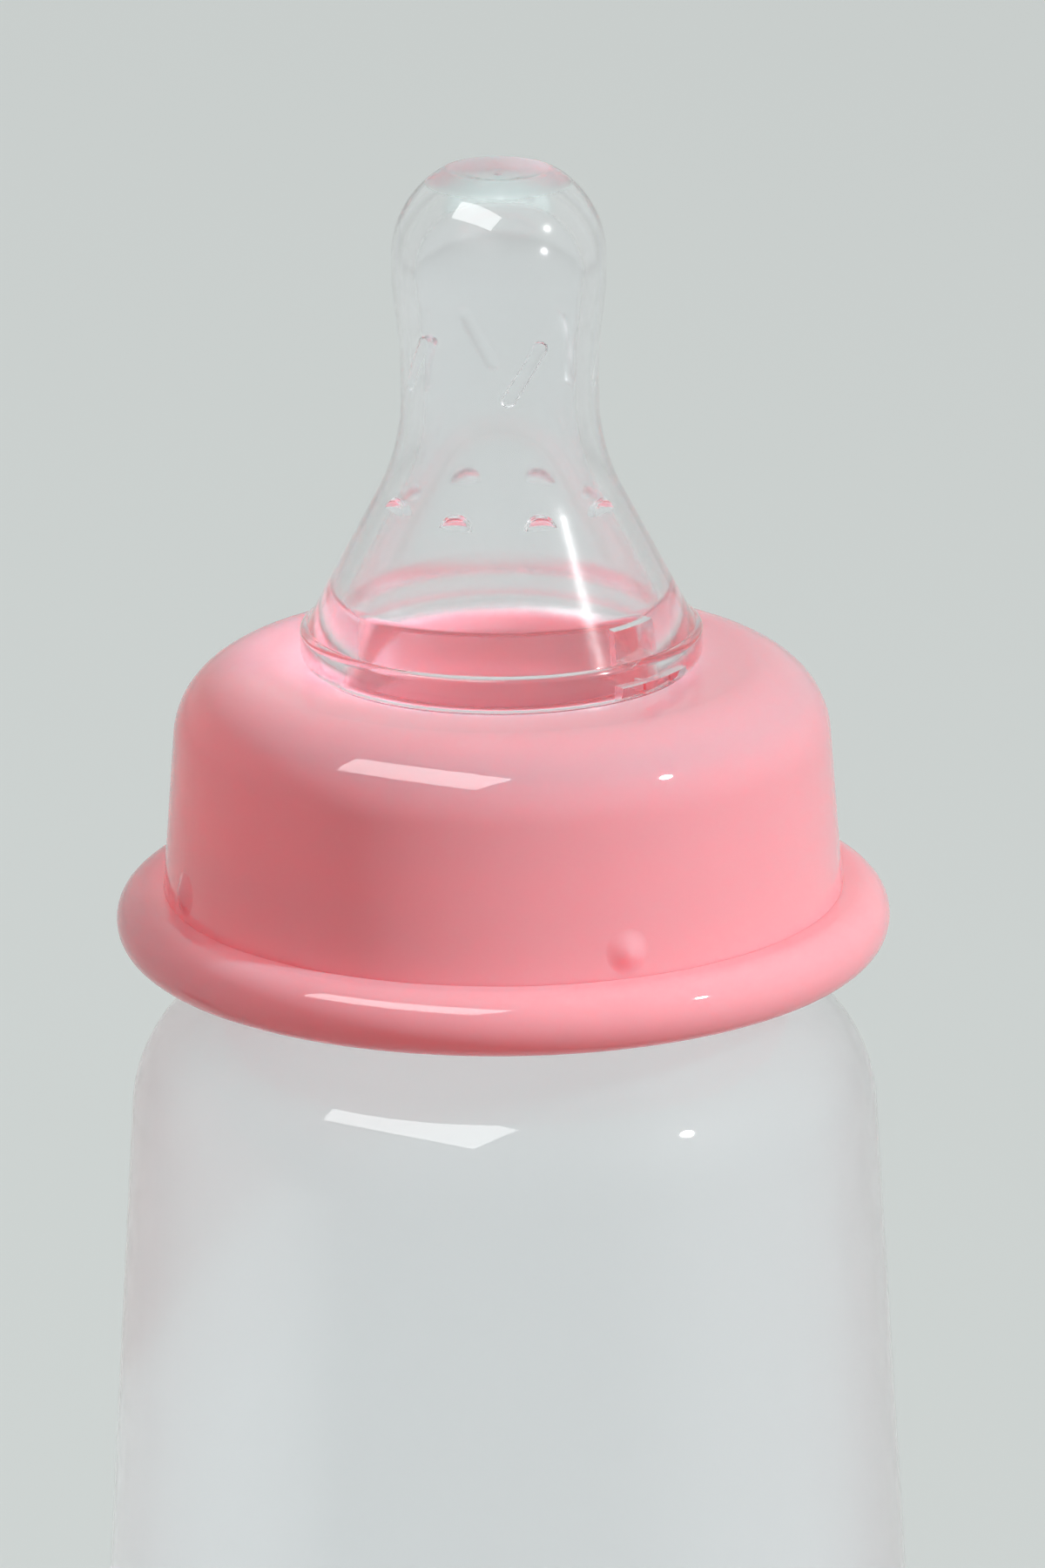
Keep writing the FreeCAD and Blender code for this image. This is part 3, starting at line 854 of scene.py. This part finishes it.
# %% Heights of the measuring scale
SCALE_STEP_ML = 10
SCALE_LONG_STEP_ML = 30
SCALE_LABEL_STEP_ML = 60
SCALE_TOP_ML = 240
SCALE_ANGLE = math.radians(180.0)
MARK_DEPTH = 0.0003
MARK_HEIGHT = 0.0006
MARK_LONG = 0.0090
MARK_SHORT = 0.0050
MARK_STEPS = 9
LABEL_SIZE = 0.0046
LABEL_GAP = 0.0016
FILL_SLICE = 0.00005
CUBIC_METRES_PER_ML = 1e-6


def wall_radius(height):
    """Outer radius of the straight and tapered side wall."""
    above_taper = max(0.0, height - TAPER_LOW_Z)
    return BODY_R - TAPER_STEP * above_taper / TAPER_LENGTH


def fill_height(millilitres):
    """Height that a feed of this volume reaches, added up in thin slices from the floor."""
    height = BOTTLE_WALL + PUSH_UP_HEIGHT / 2
    left = millilitres * CUBIC_METRES_PER_ML
    while left > 0:
        height += FILL_SLICE
        left -= math.pi * (wall_radius(height) - BOTTLE_WALL) ** 2 * FILL_SLICE
    return height


def scale_points():
    """One point on the axis for each bar of the scale, with the bar's length and the wall's radius."""
    volumes = range(SCALE_STEP_ML, SCALE_TOP_ML + 1, SCALE_STEP_ML)
    heights = [fill_height(volume) for volume in volumes]
    mesh = bpy.data.meshes.new("scale_points")
    mesh.from_pydata([(0.0, 0.0, height) for height in heights], [], [])
    known = {
        "bar_length": [MARK_SHORT if ml % SCALE_LONG_STEP_ML else MARK_LONG for ml in volumes],
        "wall_radius": [wall_radius(height) for height in heights],
    }
    for name, values in known.items():
        mesh.attributes.new(name, "FLOAT", "POINT").data.foreach_set("value", values)
    print("the top mark is at", round(heights[-1], 4))
    return add_object("scale_points", mesh)


# %% [markdown]
# ## Bars and numbers of the scale
# The bars and the numbers are both flat shapes that have to lie round the wall. The bars are blocks put
# on the scale's points, and the numbers are filled text that is given a thickness. Both are then bent
# about the axis.

# %% Trees for the scale
def scale_bars_tree():
    """Blocks to one side of a line up the wall, one for each point."""
    tree, given = new_shape_tree("scale_bars", {"Points": "Geometry", "Angle": "Float", "Depth": "Float"})
    block = add_shape(tree, "MeshCube", {"Size": (1.0, 1.0, MARK_HEIGHT), "Vertices X": MARK_STEPS})
    blocks = add_shape(tree, "InstanceOnPoints", {"Points": given["Points"], "Instance": block})
    real = add_shape(tree, "RealizeInstances", {"Geometry": blocks})
    length = add_shape(tree, "InputNamedAttribute", {"Name": "bar_length"})
    wall = add_shape(tree, "InputNamedAttribute", {"Name": "wall_radius"})
    own = own_position(tree)
    along = (own["X"] + 0.5) * length
    angle = given["Angle"] + along / wall
    inward = own["Y"] * 2.0 * given["Depth"]
    radius = wall - inward
    return end_shape_tree(tree, move_to(tree, real, around_axis(tree, angle, radius, own["Z"])))


def scale_label_tree():
    """A number bent round the wall, centred on a height, thick enough to cut into the wall."""
    tree, given = new_shape_tree("scale_label", {
        "Text": "String", "Size": "Float", "Depth": "Float",
        "Wall Radius": "Float", "Height": "Float", "Angle": "Float",
    })
    written = add_shape(tree, "StringToCurves", {
        "String": given["Text"], "Size": given["Size"],
    }, align_y="MIDDLE")
    letters = add_shape(tree, "RealizeInstances", {"Geometry": written})
    face = add_shape(tree, "FillCurve", {"Curve": letters})
    front = add_shape(tree, "ExtrudeMesh", {
        "Mesh": face, "Offset": (0.0, 0.0, 1.0), "Offset Scale": 1.0, "Individual": False,
    })
    back = add_shape(tree, "FlipFaces", {"Mesh": face})
    both = add_shape(tree, "JoinGeometry", {"Geometry": [front, back]})
    solid = add_shape(tree, "MergeByDistance", {"Geometry": both, "Distance": WELD})
    own = own_position(tree)
    angle = given["Angle"] + own["X"] / given["Wall Radius"]
    outward = (own["Z"] * 2.0 - 1.0) * given["Depth"]
    radius = given["Wall Radius"] + outward
    height = given["Height"] + own["Y"]
    return end_shape_tree(tree, move_to(tree, solid, around_axis(tree, angle, radius, height)))


scale_bars = scale_bars_tree()
scale_label = scale_label_tree()


# %% Bottle
def bottle_tree():
    """The turned bottle with its thread, less its scale."""
    tree, given = new_shape_tree("bottle_shape", {
        "Outline": "Geometry",
        "Steps Around": "Int",
        "Thread Turns": "Float",
        "Scale Points": "Object",
        "Scale Angle": "Float",
        "Mark Depth": "Float",
        "Finish": "Material",
    })
    skin = turned(tree, given)
    thread = use_tree(tree, screw_thread, {
        "Wall Radius": NECK_R,
        "Facing": 1.0,
        "Start Height": NECK_THREAD_LOW_Z,
        "Start Angle": 0.0,
        "Turns": given["Thread Turns"],
    })
    points = add_node(tree, "GeometryNodeObjectInfo", {"Object": given["Scale Points"]})["Geometry"]
    cuts = [use_tree(tree, scale_bars, {
        "Points": points, "Angle": given["Scale Angle"], "Depth": given["Mark Depth"],
    })]
    for volume in range(SCALE_LABEL_STEP_ML, SCALE_TOP_ML + 1, SCALE_LABEL_STEP_ML):
        height = fill_height(volume)
        wall = wall_radius(height)
        cuts.append(use_tree(tree, scale_label, {
            "Text": str(volume) + (" ml" if volume == SCALE_TOP_ML else ""),
            "Size": LABEL_SIZE,
            "Wall Radius": wall,
            "Height": height,
            "Angle": given["Scale Angle"] + (MARK_LONG + LABEL_GAP) / wall,
            "Depth": given["Mark Depth"],
        }))
    return finish_tree(tree, take_away(tree, unite(tree, skin, thread), *cuts), given["Finish"])


bars_from = scale_points()
bottle_section = outline_curve("bottle_outline", bottle_outline(), closed=False)
bottle_shell = grow("bottle_shell", bottle_section, bottle_tree(), {
    "Steps Around": STEPS_AROUND,
    "Thread Turns": NECK_THREAD_TURNS,
    "Scale Points": bars_from,
    "Scale Angle": SCALE_ANGLE,
    "Mark Depth": MARK_DEPTH,
    "Finish": milky_plastic,
})
bpy.data.objects.remove(bars_from)
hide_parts("bottle_body")
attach(bottle_shell, "bottle")

# %% [markdown]
# ## The teat
# The teat is one moulding: a flange that the collar clamps, a groove for the collar's edge, a bead, a
# cone, a neck and a bulb with a small crater and one hole. Inside it are four slanting ribs that keep
# the neck open, a ring of eight half-round pads, one upright rib in the foot, and an air vent. All of
# them could be modelled into one mesh by hand. Here the skin is turned from its outline first, and then
# each of them is united with it or cut out of it.

# %% Sizes of the teat
TEAT_FLANGE_GAP = 0.0003
TEAT_PRESS = 0.00002
TEAT_BEAD_REACH = 0.0013
TEAT_BEAD_HEIGHT = 0.0026
TEAT_BEAD_ROUND = 0.0012
CONE_FOOT_STEP = 0.0005
TEAT_NECK_RISE = 0.0149
TEAT_NECK_R = 0.00662
TEAT_FLARE_ROUND = 0.0140
BULB_START_RISE = 0.0215
BULB_FULL_RISE = 0.0260
BULB_R = 0.00715
BULB_CENTRE_RISE = 0.0277
BULB_BLEND_ROUND = 0.0160
CRATER_R = 0.0035
CRATER_DEPTH = 0.00045
CRATER_SLOPE_WIDTH = 0.0020
CRATER_RIM_ROUND = 0.0009
CRATER_FLOOR_ROUND = 0.0020
TEAT_EDGE_ROUND = 0.0003
TEAT_WALL = 0.0016
TEAT_FOOT_BORE_R = 0.0104
FLOW_HOLE_R = 0.0003
BEAD_LOW_Z = COLLAR_TOP_Z + SEAT_GAP
BEAD_TOP_Z = BEAD_LOW_Z + TEAT_BEAD_HEIGHT
BEAD_R = TEAT_GROOVE_R + TEAT_BEAD_REACH
FLANGE_R = COLLAR_BORE_R - COLLAR_INNER_ROUND - TEAT_FLANGE_GAP
CONE_FOOT_R = BEAD_R - CONE_FOOT_STEP
TEAT_NECK_Z = COLLAR_TOP_Z + TEAT_NECK_RISE
CONE_SLOPE = (CONE_FOOT_R - TEAT_NECK_R) / (TEAT_NECK_Z - BEAD_TOP_Z)
TEAT_BORE_R = TEAT_NECK_R - TEAT_WALL
BULB_TOP_Z = COLLAR_TOP_Z + BULB_CENTRE_RISE + math.sqrt(BULB_R ** 2 - CRATER_R ** 2)


# %% Outline of the teat
def teat_outline():
    """Corners of the teat's section, from the foot of its bore outwards, up, and back down the inside."""
    bulb_z = COLLAR_TOP_Z + BULB_CENTRE_RISE
    bulb_start_z = COLLAR_TOP_Z + BULB_START_RISE
    bulb_full_z = COLLAR_TOP_Z + BULB_FULL_RISE
    dome_half = math.acos(CRATER_R / BULB_R) / 2
    crater_z = BULB_TOP_Z - CRATER_DEPTH
    bulb_bore_r = BULB_R - TEAT_WALL
    ceiling_z = crater_z - TEAT_WALL
    foot_bore_top_z = TEAT_NECK_Z - (TEAT_FOOT_BORE_R - TEAT_BORE_R) / CONE_SLOPE
    flange_top_z = COLLAR_CEILING_Z + TEAT_PRESS
    groove_r = COLLAR_HOLE_R + TEAT_PRESS
    bead_low_z = COLLAR_TOP_Z - TEAT_PRESS
    return [
        (TEAT_FOOT_BORE_R, FLANGE_LOW_Z, TEAT_EDGE_ROUND),
        (FLANGE_R, FLANGE_LOW_Z, TEAT_EDGE_ROUND),
        (FLANGE_R, flange_top_z, TEAT_EDGE_ROUND),
        (groove_r, flange_top_z, 0.0),
        (groove_r, bead_low_z, 0.0),
        (BEAD_R, bead_low_z, TEAT_BEAD_ROUND),
        (BEAD_R, BEAD_TOP_Z, TEAT_BEAD_ROUND),
        (CONE_FOOT_R, BEAD_TOP_Z, TEAT_EDGE_ROUND),
        (TEAT_NECK_R, TEAT_NECK_Z, TEAT_FLARE_ROUND),
        (TEAT_NECK_R, bulb_start_z, BULB_BLEND_ROUND),
        (BULB_R, bulb_full_z, BULB_BLEND_ROUND),
        (BULB_R, bulb_z + BULB_R * math.tan(dome_half), BULB_R),
        (CRATER_R, BULB_TOP_Z, CRATER_RIM_ROUND),
        (CRATER_R - CRATER_SLOPE_WIDTH, crater_z, CRATER_FLOOR_ROUND),
        (FLOW_HOLE_R, crater_z, 0.0),
        (FLOW_HOLE_R, ceiling_z, 0.0),
        (bulb_bore_r, ceiling_z, bulb_bore_r - TEAT_EDGE_ROUND),
        (bulb_bore_r, bulb_full_z, BULB_BLEND_ROUND),
        (TEAT_BORE_R, bulb_start_z, BULB_BLEND_ROUND),
        (TEAT_BORE_R, TEAT_NECK_Z, TEAT_FLARE_ROUND),
        (TEAT_FOOT_BORE_R, foot_bore_top_z, TEAT_BEAD_ROUND),
    ]


print("teat from", round(FLANGE_LOW_Z, 5), "to", round(BULB_TOP_Z, 5))

# %% [markdown]
# ## Clear teat silicone
# The teat is clear silicone rubber with a faint cool cast. Its wall could be clear glass, but then
# every rib inside it would be drawn in hard dark lines. Silicone is softer: its inside is a little
# matt, so the light that passes is slightly spread, while the outside is smooth and mirrors the lamps
# sharply. That is a low roughness with a clear coat outside. The tip around the flow hole is matt, as
# its part of the mould is left unpolished. Its colour there is a painted cool tint, which takes the
# pink light of the collar out of the light that the tip spreads.

# %% Clear teat silicone
TIP_MATT_DEPTH = 0.0005
TIP_FADE_DEPTH = 0.0012
TIP_ROUGHNESS = 0.8
# Painted tint: a cool colour that cancels the collar's pink light spread by the tip, not a colour of the
# silicone.
TIP_TINT_AGAINST_PINK_LIGHT = (0.88, 1.0, 1.0, 1.0)

clear_silicone = moulded_finish(
    "clear_silicone",
    skin_sizes={"Cloud Size": 0.006, "Flow Stretch": 1.5, "Peel Size": 0.0008},
    colours=((0.974, 0.984, 0.995, 1.0), (0.984, 0.994, 1.0, 1.0)),
    roughness=(0.10, 0.16),
    peel_depth=0.000002,
    plain={
        "IOR": 1.32,
        "Transmission Weight": 0.98,
        "Coat Roughness": 0.02,
        "Coat IOR": 1.45,
        "Specular Tint": (0.4, 0.4, 0.4, 1.0),
    },
)
let_lamps_through(clear_silicone, tint=(0.94, 0.93, 0.96, 1.0))
gloss_outside(clear_silicone)


def matt_tip(material):
    """More roughness, and a painted cool tint against the collar's pink light, near the top of the bulb,
    over what the skin gives.
    """
    tree = material.node_tree
    shader = tree.nodes["Principled BSDF"]
    place = add_node(tree, "ShaderNodeTexCoord")["Object"]
    height = add_node(tree, "ShaderNodeSeparateXYZ", {"Vector": place})["Z"]
    fade_z = BULB_TOP_Z - TIP_FADE_DEPTH
    matt_z = BULB_TOP_Z - TIP_MATT_DEPTH
    tip = add_ramp(tree, height, fade_z, matt_z, interpolation_type="SMOOTHSTEP")
    skin_roughness = Wire(shader.inputs["Roughness"].links[0].from_socket)
    skin_colour = Wire(shader.inputs["Base Color"].links[0].from_socket)
    fill(shader, {
        "Roughness": add_sum(tree, "MAXIMUM", skin_roughness, tip * TIP_ROUGHNESS),
        "Base Color": mix_colours(tree, tip, skin_colour, TIP_TINT_AGAINST_PINK_LIGHT),
    })


matt_tip(clear_silicone)

# %% [markdown]
# ## Ribs and blocks that follow a round wall
# The ribs inside the teat lie on its round bore, and its air vent is cut through its round foot.
# Straight bars and flat blocks could be turned into place, but they would stand off the wall in the
# middle or at the ends. So each has a tree that bends it about the axis. A rib's ends are round, which
# is the Scale input of Curve to Mesh again.

# %% Trees for ribs and for the vent
BAR_STEPS = 49
BAR_SIDES = 20
BLOCK_STEPS = 17


def round_bar_tree():
    """A bar with round ends that climbs a round wall, centred on the front."""
    tree, given = new_shape_tree("round_bar", {
        "Wall Radius": "Float", "Low": "Float", "Rise": "Float", "Turn": "Float", "Bar Radius": "Float",
    })
    line = add_shape(tree, "CurvePrimitiveLine")
    path = add_shape(tree, "ResampleCurve", {"Curve": line, "Count": BAR_STEPS})
    along = add_shape(tree, "SplineParameter")
    angle = (along - 0.5) * given["Turn"]
    height = along * given["Rise"] + given["Low"]
    bent = move_to(tree, path, around_axis(tree, angle, given["Wall Radius"], height))
    radii_long = given["Rise"] / given["Bar Radius"]
    from_end = add_sum(tree, "MINIMUM", 1.0, nearer_end(tree) * radii_long)
    to_full = 1.0 - from_end
    drop = to_full * to_full
    round_end = add_sum(tree, "SQRT", 1.0 - drop)
    section = add_shape(tree, "CurvePrimitiveCircle", {
        "Resolution": BAR_SIDES, "Radius": given["Bar Radius"],
    })
    bar = add_shape(tree, "CurveToMesh", {
        "Curve": bent,
        "Profile Curve": section,
        "Scale": add_sum(tree, "MAXIMUM", round_end, SMALLEST_END),
        "Fill Caps": True,
    })
    return end_shape_tree(tree, bar)


def sector_block_tree():
    """A block bent about the axis and centred on an angle from the front."""
    tree, given = new_shape_tree("sector_block", {
        "Inner Radius": "Float", "Outer Radius": "Float", "Low": "Float", "High": "Float",
        "Angle": "Float", "Width": "Float",
    })
    block = add_shape(tree, "MeshCube", {"Size": (1.0, 1.0, 1.0), "Vertices X": BLOCK_STEPS})
    own = own_position(tree)
    angle = own["X"] * given["Width"] + given["Angle"]
    thickness = given["Outer Radius"] - given["Inner Radius"]
    inward = (own["Y"] + 0.5) * thickness
    radius = given["Outer Radius"] - inward
    tall = given["High"] - given["Low"]
    height = (own["Z"] + 0.5) * tall + given["Low"]
    return end_shape_tree(tree, move_to(tree, block, around_axis(tree, angle, radius, height)))


round_bar = round_bar_tree()
sector_block = sector_block_tree()

# %% Ribs, pads and vent of the teat
NECK_RIB_COUNT = 4
NECK_RIB_FIRST_ANGLE = math.radians(18.0)
NECK_RIB_LOW_RISE = 0.0190
NECK_RIB_RISE = 0.0043
NECK_RIB_LEAN = math.radians(31.0)
NECK_RIB_R = 0.0005
PAD_COUNT = 8
PAD_FIRST_ANGLE = math.radians(21.0)
PAD_RISE = 0.0108
PAD_R = 0.00115
PAD_SKIN = 0.00015
PAD_SEGMENTS = 40
PAD_RINGS = 20
FOOT_RIB_ANGLE = math.radians(172.0)
FOOT_RIB_R = 0.00035
FOOT_RIB_LENGTH = 0.0052
VENT_ANGLE = math.radians(51.0)
VENT_NOTCH_WIDTH = math.radians(29.0)
VENT_NOTCH_HEIGHT = 0.0011
VENT_POCKET_WIDTH = math.radians(20.0)
VENT_POCKET_DEPTH = 0.0007
VENT_POCKET_LOW = 0.0016
VENT_POCKET_HEIGHT = 0.0026
VENT_SLIT_WIDTH = 0.00025
VENT_SLIT_HEIGHT = 0.0008


def cone_pad(tree):
    """A pad with a flat underside, at the front of the cone: a ball whose lower half is pressed flat."""
    ball = add_shape(tree, "MeshUVSphere", {
        "Segments": PAD_SEGMENTS, "Rings": PAD_RINGS, "Radius": PAD_R,
    })
    own = own_position(tree)
    pressed = add_vector(tree, own["X"], own["Y"], add_sum(tree, "MAXIMUM", own["Z"], 0.0))
    pad_z = COLLAR_TOP_Z + PAD_RISE
    cone_r = TEAT_NECK_R + (TEAT_NECK_Z - pad_z) * CONE_SLOPE
    below_skin = (PAD_R + PAD_SKIN) * math.hypot(1.0, CONE_SLOPE)
    return add_shape(tree, "Transform", {
        "Geometry": move_to(tree, ball, pressed),
        "Translation": (0.0, below_skin - cone_r, pad_z),
    })


def vent_cuts():
    """Inner and outer radius, low and high end, and width, of the notch, the pocket and the slit."""
    pocket_r = TEAT_FOOT_BORE_R - VENT_POCKET_DEPTH
    pocket_back_r = TEAT_FOOT_BORE_R + VENT_POCKET_DEPTH
    notch_r = BEAD_R + TEAT_BEAD_REACH
    notch_low_z = BEAD_LOW_Z - SEAT_GAP
    notch_top_z = BEAD_LOW_Z + VENT_NOTCH_HEIGHT
    pocket_low_z = BEAD_LOW_Z + VENT_POCKET_LOW
    pocket_top_z = pocket_low_z + VENT_POCKET_HEIGHT
    slit_top_z = BEAD_LOW_Z + VENT_SLIT_HEIGHT
    return [
        (TEAT_GROOVE_R, notch_r, notch_low_z, notch_top_z, VENT_NOTCH_WIDTH),
        (pocket_r, pocket_back_r, pocket_low_z, pocket_top_z, VENT_POCKET_WIDTH),
        (pocket_r, BEAD_R, BEAD_LOW_Z, slit_top_z, VENT_SLIT_WIDTH / TEAT_GROOVE_R),
    ]


# %% Teat
def teat_tree():
    """The turned teat with its ribs and pads, less its air vent."""
    tree, given = new_shape_tree("teat_shape", {
        "Outline": "Geometry",
        "Steps Around": "Int",
        "Rib Count": "Int",
        "First Rib": "Float",
        "Pad Count": "Int",
        "First Pad": "Float",
        "Vent Angle": "Float",
        "Finish": "Material",
    })
    skin = turned(tree, given)
    neck_rib = use_tree(tree, round_bar, {
        "Wall Radius": TEAT_BORE_R,
        "Low": COLLAR_TOP_Z + NECK_RIB_LOW_RISE,
        "Rise": NECK_RIB_RISE,
        "Turn": NECK_RIB_RISE * math.tan(NECK_RIB_LEAN) / TEAT_BORE_R,
        "Bar Radius": NECK_RIB_R,
    })
    neck_ribs = ring(tree, neck_rib, given["Rib Count"], given["First Rib"])
    pads = ring(tree, cone_pad(tree), given["Pad Count"], given["First Pad"])
    foot_rib = use_tree(tree, round_bar, {
        "Wall Radius": TEAT_FOOT_BORE_R,
        "Low": FLANGE_TOP_Z,
        "Rise": FOOT_RIB_LENGTH,
        "Turn": 0.0,
        "Bar Radius": FOOT_RIB_R,
    })
    vent = [
        use_tree(tree, sector_block, {
            "Inner Radius": inner,
            "Outer Radius": outer,
            "Low": low,
            "High": high,
            "Angle": given["Vent Angle"],
            "Width": width,
        })
        for inner, outer, low, high, width in vent_cuts()
    ]
    whole = unite(tree, skin, neck_ribs, pads, ring(tree, foot_rib, 1, FOOT_RIB_ANGLE))
    return finish_tree(tree, take_away(tree, whole, *vent), given["Finish"])


teat_section = outline_curve("teat_outline", teat_outline(), closed=True)
teat_moulding = grow("teat_moulding", teat_section, teat_tree(), {
    "Steps Around": STEPS_AROUND,
    "Rib Count": NECK_RIB_COUNT,
    "First Rib": NECK_RIB_FIRST_ANGLE,
    "Pad Count": PAD_COUNT,
    "First Pad": PAD_FIRST_ANGLE,
    "Vent Angle": VENT_ANGLE,
    "Finish": clear_silicone,
})
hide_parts("teat")
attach(teat_moulding, "teat")

# %% [markdown]
# ## Floor and background
# The bottle stands on a plain pale floor that fills the picture. Behind everything, the world has the
# same pale colour, so clear silicone and gloss have one even background to bend and to mirror. Only
# rays that no matt surface has scattered on their way from the camera see that colour. The rest see a
# dimmer, warmer room, which keeps the shaded side of the collar deep.

# %% Floor and background
FLOOR_HALF = 6.0
FLOOR_DROP = 0.0002
FLOOR_PALE = (0.65, 0.745, 0.73, 1.0)
FLOOR_DIM = (0.42, 0.25, 0.25, 1.0)
BACKGROUND_PALE = (0.604, 0.638, 0.624, 1.0)
ROOM_DIM = (0.16, 0.09, 0.09, 1.0)
FLOOR_ROUGHNESS = 0.9
FLOOR_GLOSS = 0.1
HALF_A_SCATTER = 0.5


def seen_directly(tree):
    """1 for rays that no matt surface has scattered on their way from the camera, and 0 for the rest."""
    scattered = add_node(tree, "ShaderNodeLightPath")["Diffuse Depth"]
    return add_sum(tree, "LESS_THAN", scattered, HALF_A_SCATTER)


def pale_or_dim(tree, dim, pale):
    """The pale colour where it is seen directly, and the dim one as light for other surfaces."""
    return mix_colours(tree, seen_directly(tree), dim, pale)


def pale_floor():
    """A large matt floor just under the standing ring."""
    sides = [(-1.0, -1.0), (1.0, -1.0), (1.0, 1.0), (-1.0, 1.0)]
    corners = [(x * FLOOR_HALF, y * FLOOR_HALF, -FLOOR_DROP) for x, y in sides]
    mesh = bpy.data.meshes.new("floor")
    mesh.from_pydata(corners, [], [(0, 1, 2, 3)])
    material = bpy.data.materials.new("pale_floor")
    material.use_nodes = True
    tree = material.node_tree
    fill(tree.nodes["Principled BSDF"], {
        "Base Color": pale_or_dim(tree, FLOOR_DIM, FLOOR_PALE),
        "Roughness": FLOOR_ROUGHNESS,
        "Specular IOR Level": FLOOR_GLOSS,
    })
    mesh.materials.append(material)
    floor = add_object("floor", mesh)


def pale_world():
    """The room around: one even colour, dimmer as a light than as a background."""
    world = bpy.data.worlds.new("pale_room")
    world.use_nodes = True
    tree = world.node_tree
    fill(tree.nodes["Background"], {"Color": pale_or_dim(tree, ROOM_DIM, BACKGROUND_PALE)})
    scene.world = world


pale_floor()
pale_world()
print("floor is", 2 * FLOOR_HALF, "m wide")

# %% [markdown]
# ## Lamps
# Two lights show in the gloss of the collar. A long softbox hangs overhead to the left and leaves a
# white bar on the shoulder, the lip and the bottle. A smaller, harder key comes from the right and in
# front, leaves small round glints, and throws the shadows. Their directions follow from where those
# glints are. The bar is bright while the softbox lights little else, so a second lamp in its place is
# seen in gloss alone.

# %% Lamps
SOFTBOX_TOWARDS = Vector((-0.35, -0.37, 0.86))
SOFTBOX_DISTANCE = 3.0
SOFTBOX_LENGTH = 2.5
SOFTBOX_WIDTH = 1.1
SOFTBOX_WATTS = 30.0
SOFTBOX_GLOSS_WATTS = 30.0
SOFTBOX_GLOSS_STEP = 0.01
KEY_TOWARDS = Vector((0.757, -0.324, 0.567))
KEY_STRENGTH = 3.1
KEY_ANGLE = math.radians(3.8)


def softbox(name, watts, distance):
    """A long soft lamp above and to the left, aimed at the collar."""
    lamp = bpy.data.lights.new(name, "AREA")
    lamp.shape = "RECTANGLE"
    lamp.size = SOFTBOX_LENGTH
    lamp.size_y = SOFTBOX_WIDTH
    lamp.energy = watts
    hung = add_object(name, lamp)
    hung.location = CREASE_POINT + SOFTBOX_TOWARDS.normalized() * distance
    hung.rotation_euler = SOFTBOX_TOWARDS.to_track_quat("Z", "Y").to_euler()
    hung.visible_camera = False
    return hung


def key_lamp():
    """A small far lamp from the right."""
    lamp = bpy.data.lights.new("key", "SUN")
    lamp.energy = KEY_STRENGTH
    lamp.angle = KEY_ANGLE
    hung = add_object("key", lamp)
    hung.rotation_euler = KEY_TOWARDS.to_track_quat("Z", "Y").to_euler()


softbox("softbox", SOFTBOX_WATTS, SOFTBOX_DISTANCE)
softbox_gloss = softbox("softbox_gloss", SOFTBOX_GLOSS_WATTS, SOFTBOX_DISTANCE - SOFTBOX_GLOSS_STEP)
softbox_gloss.visible_diffuse = False
softbox_gloss.visible_transmission = False
key_lamp()
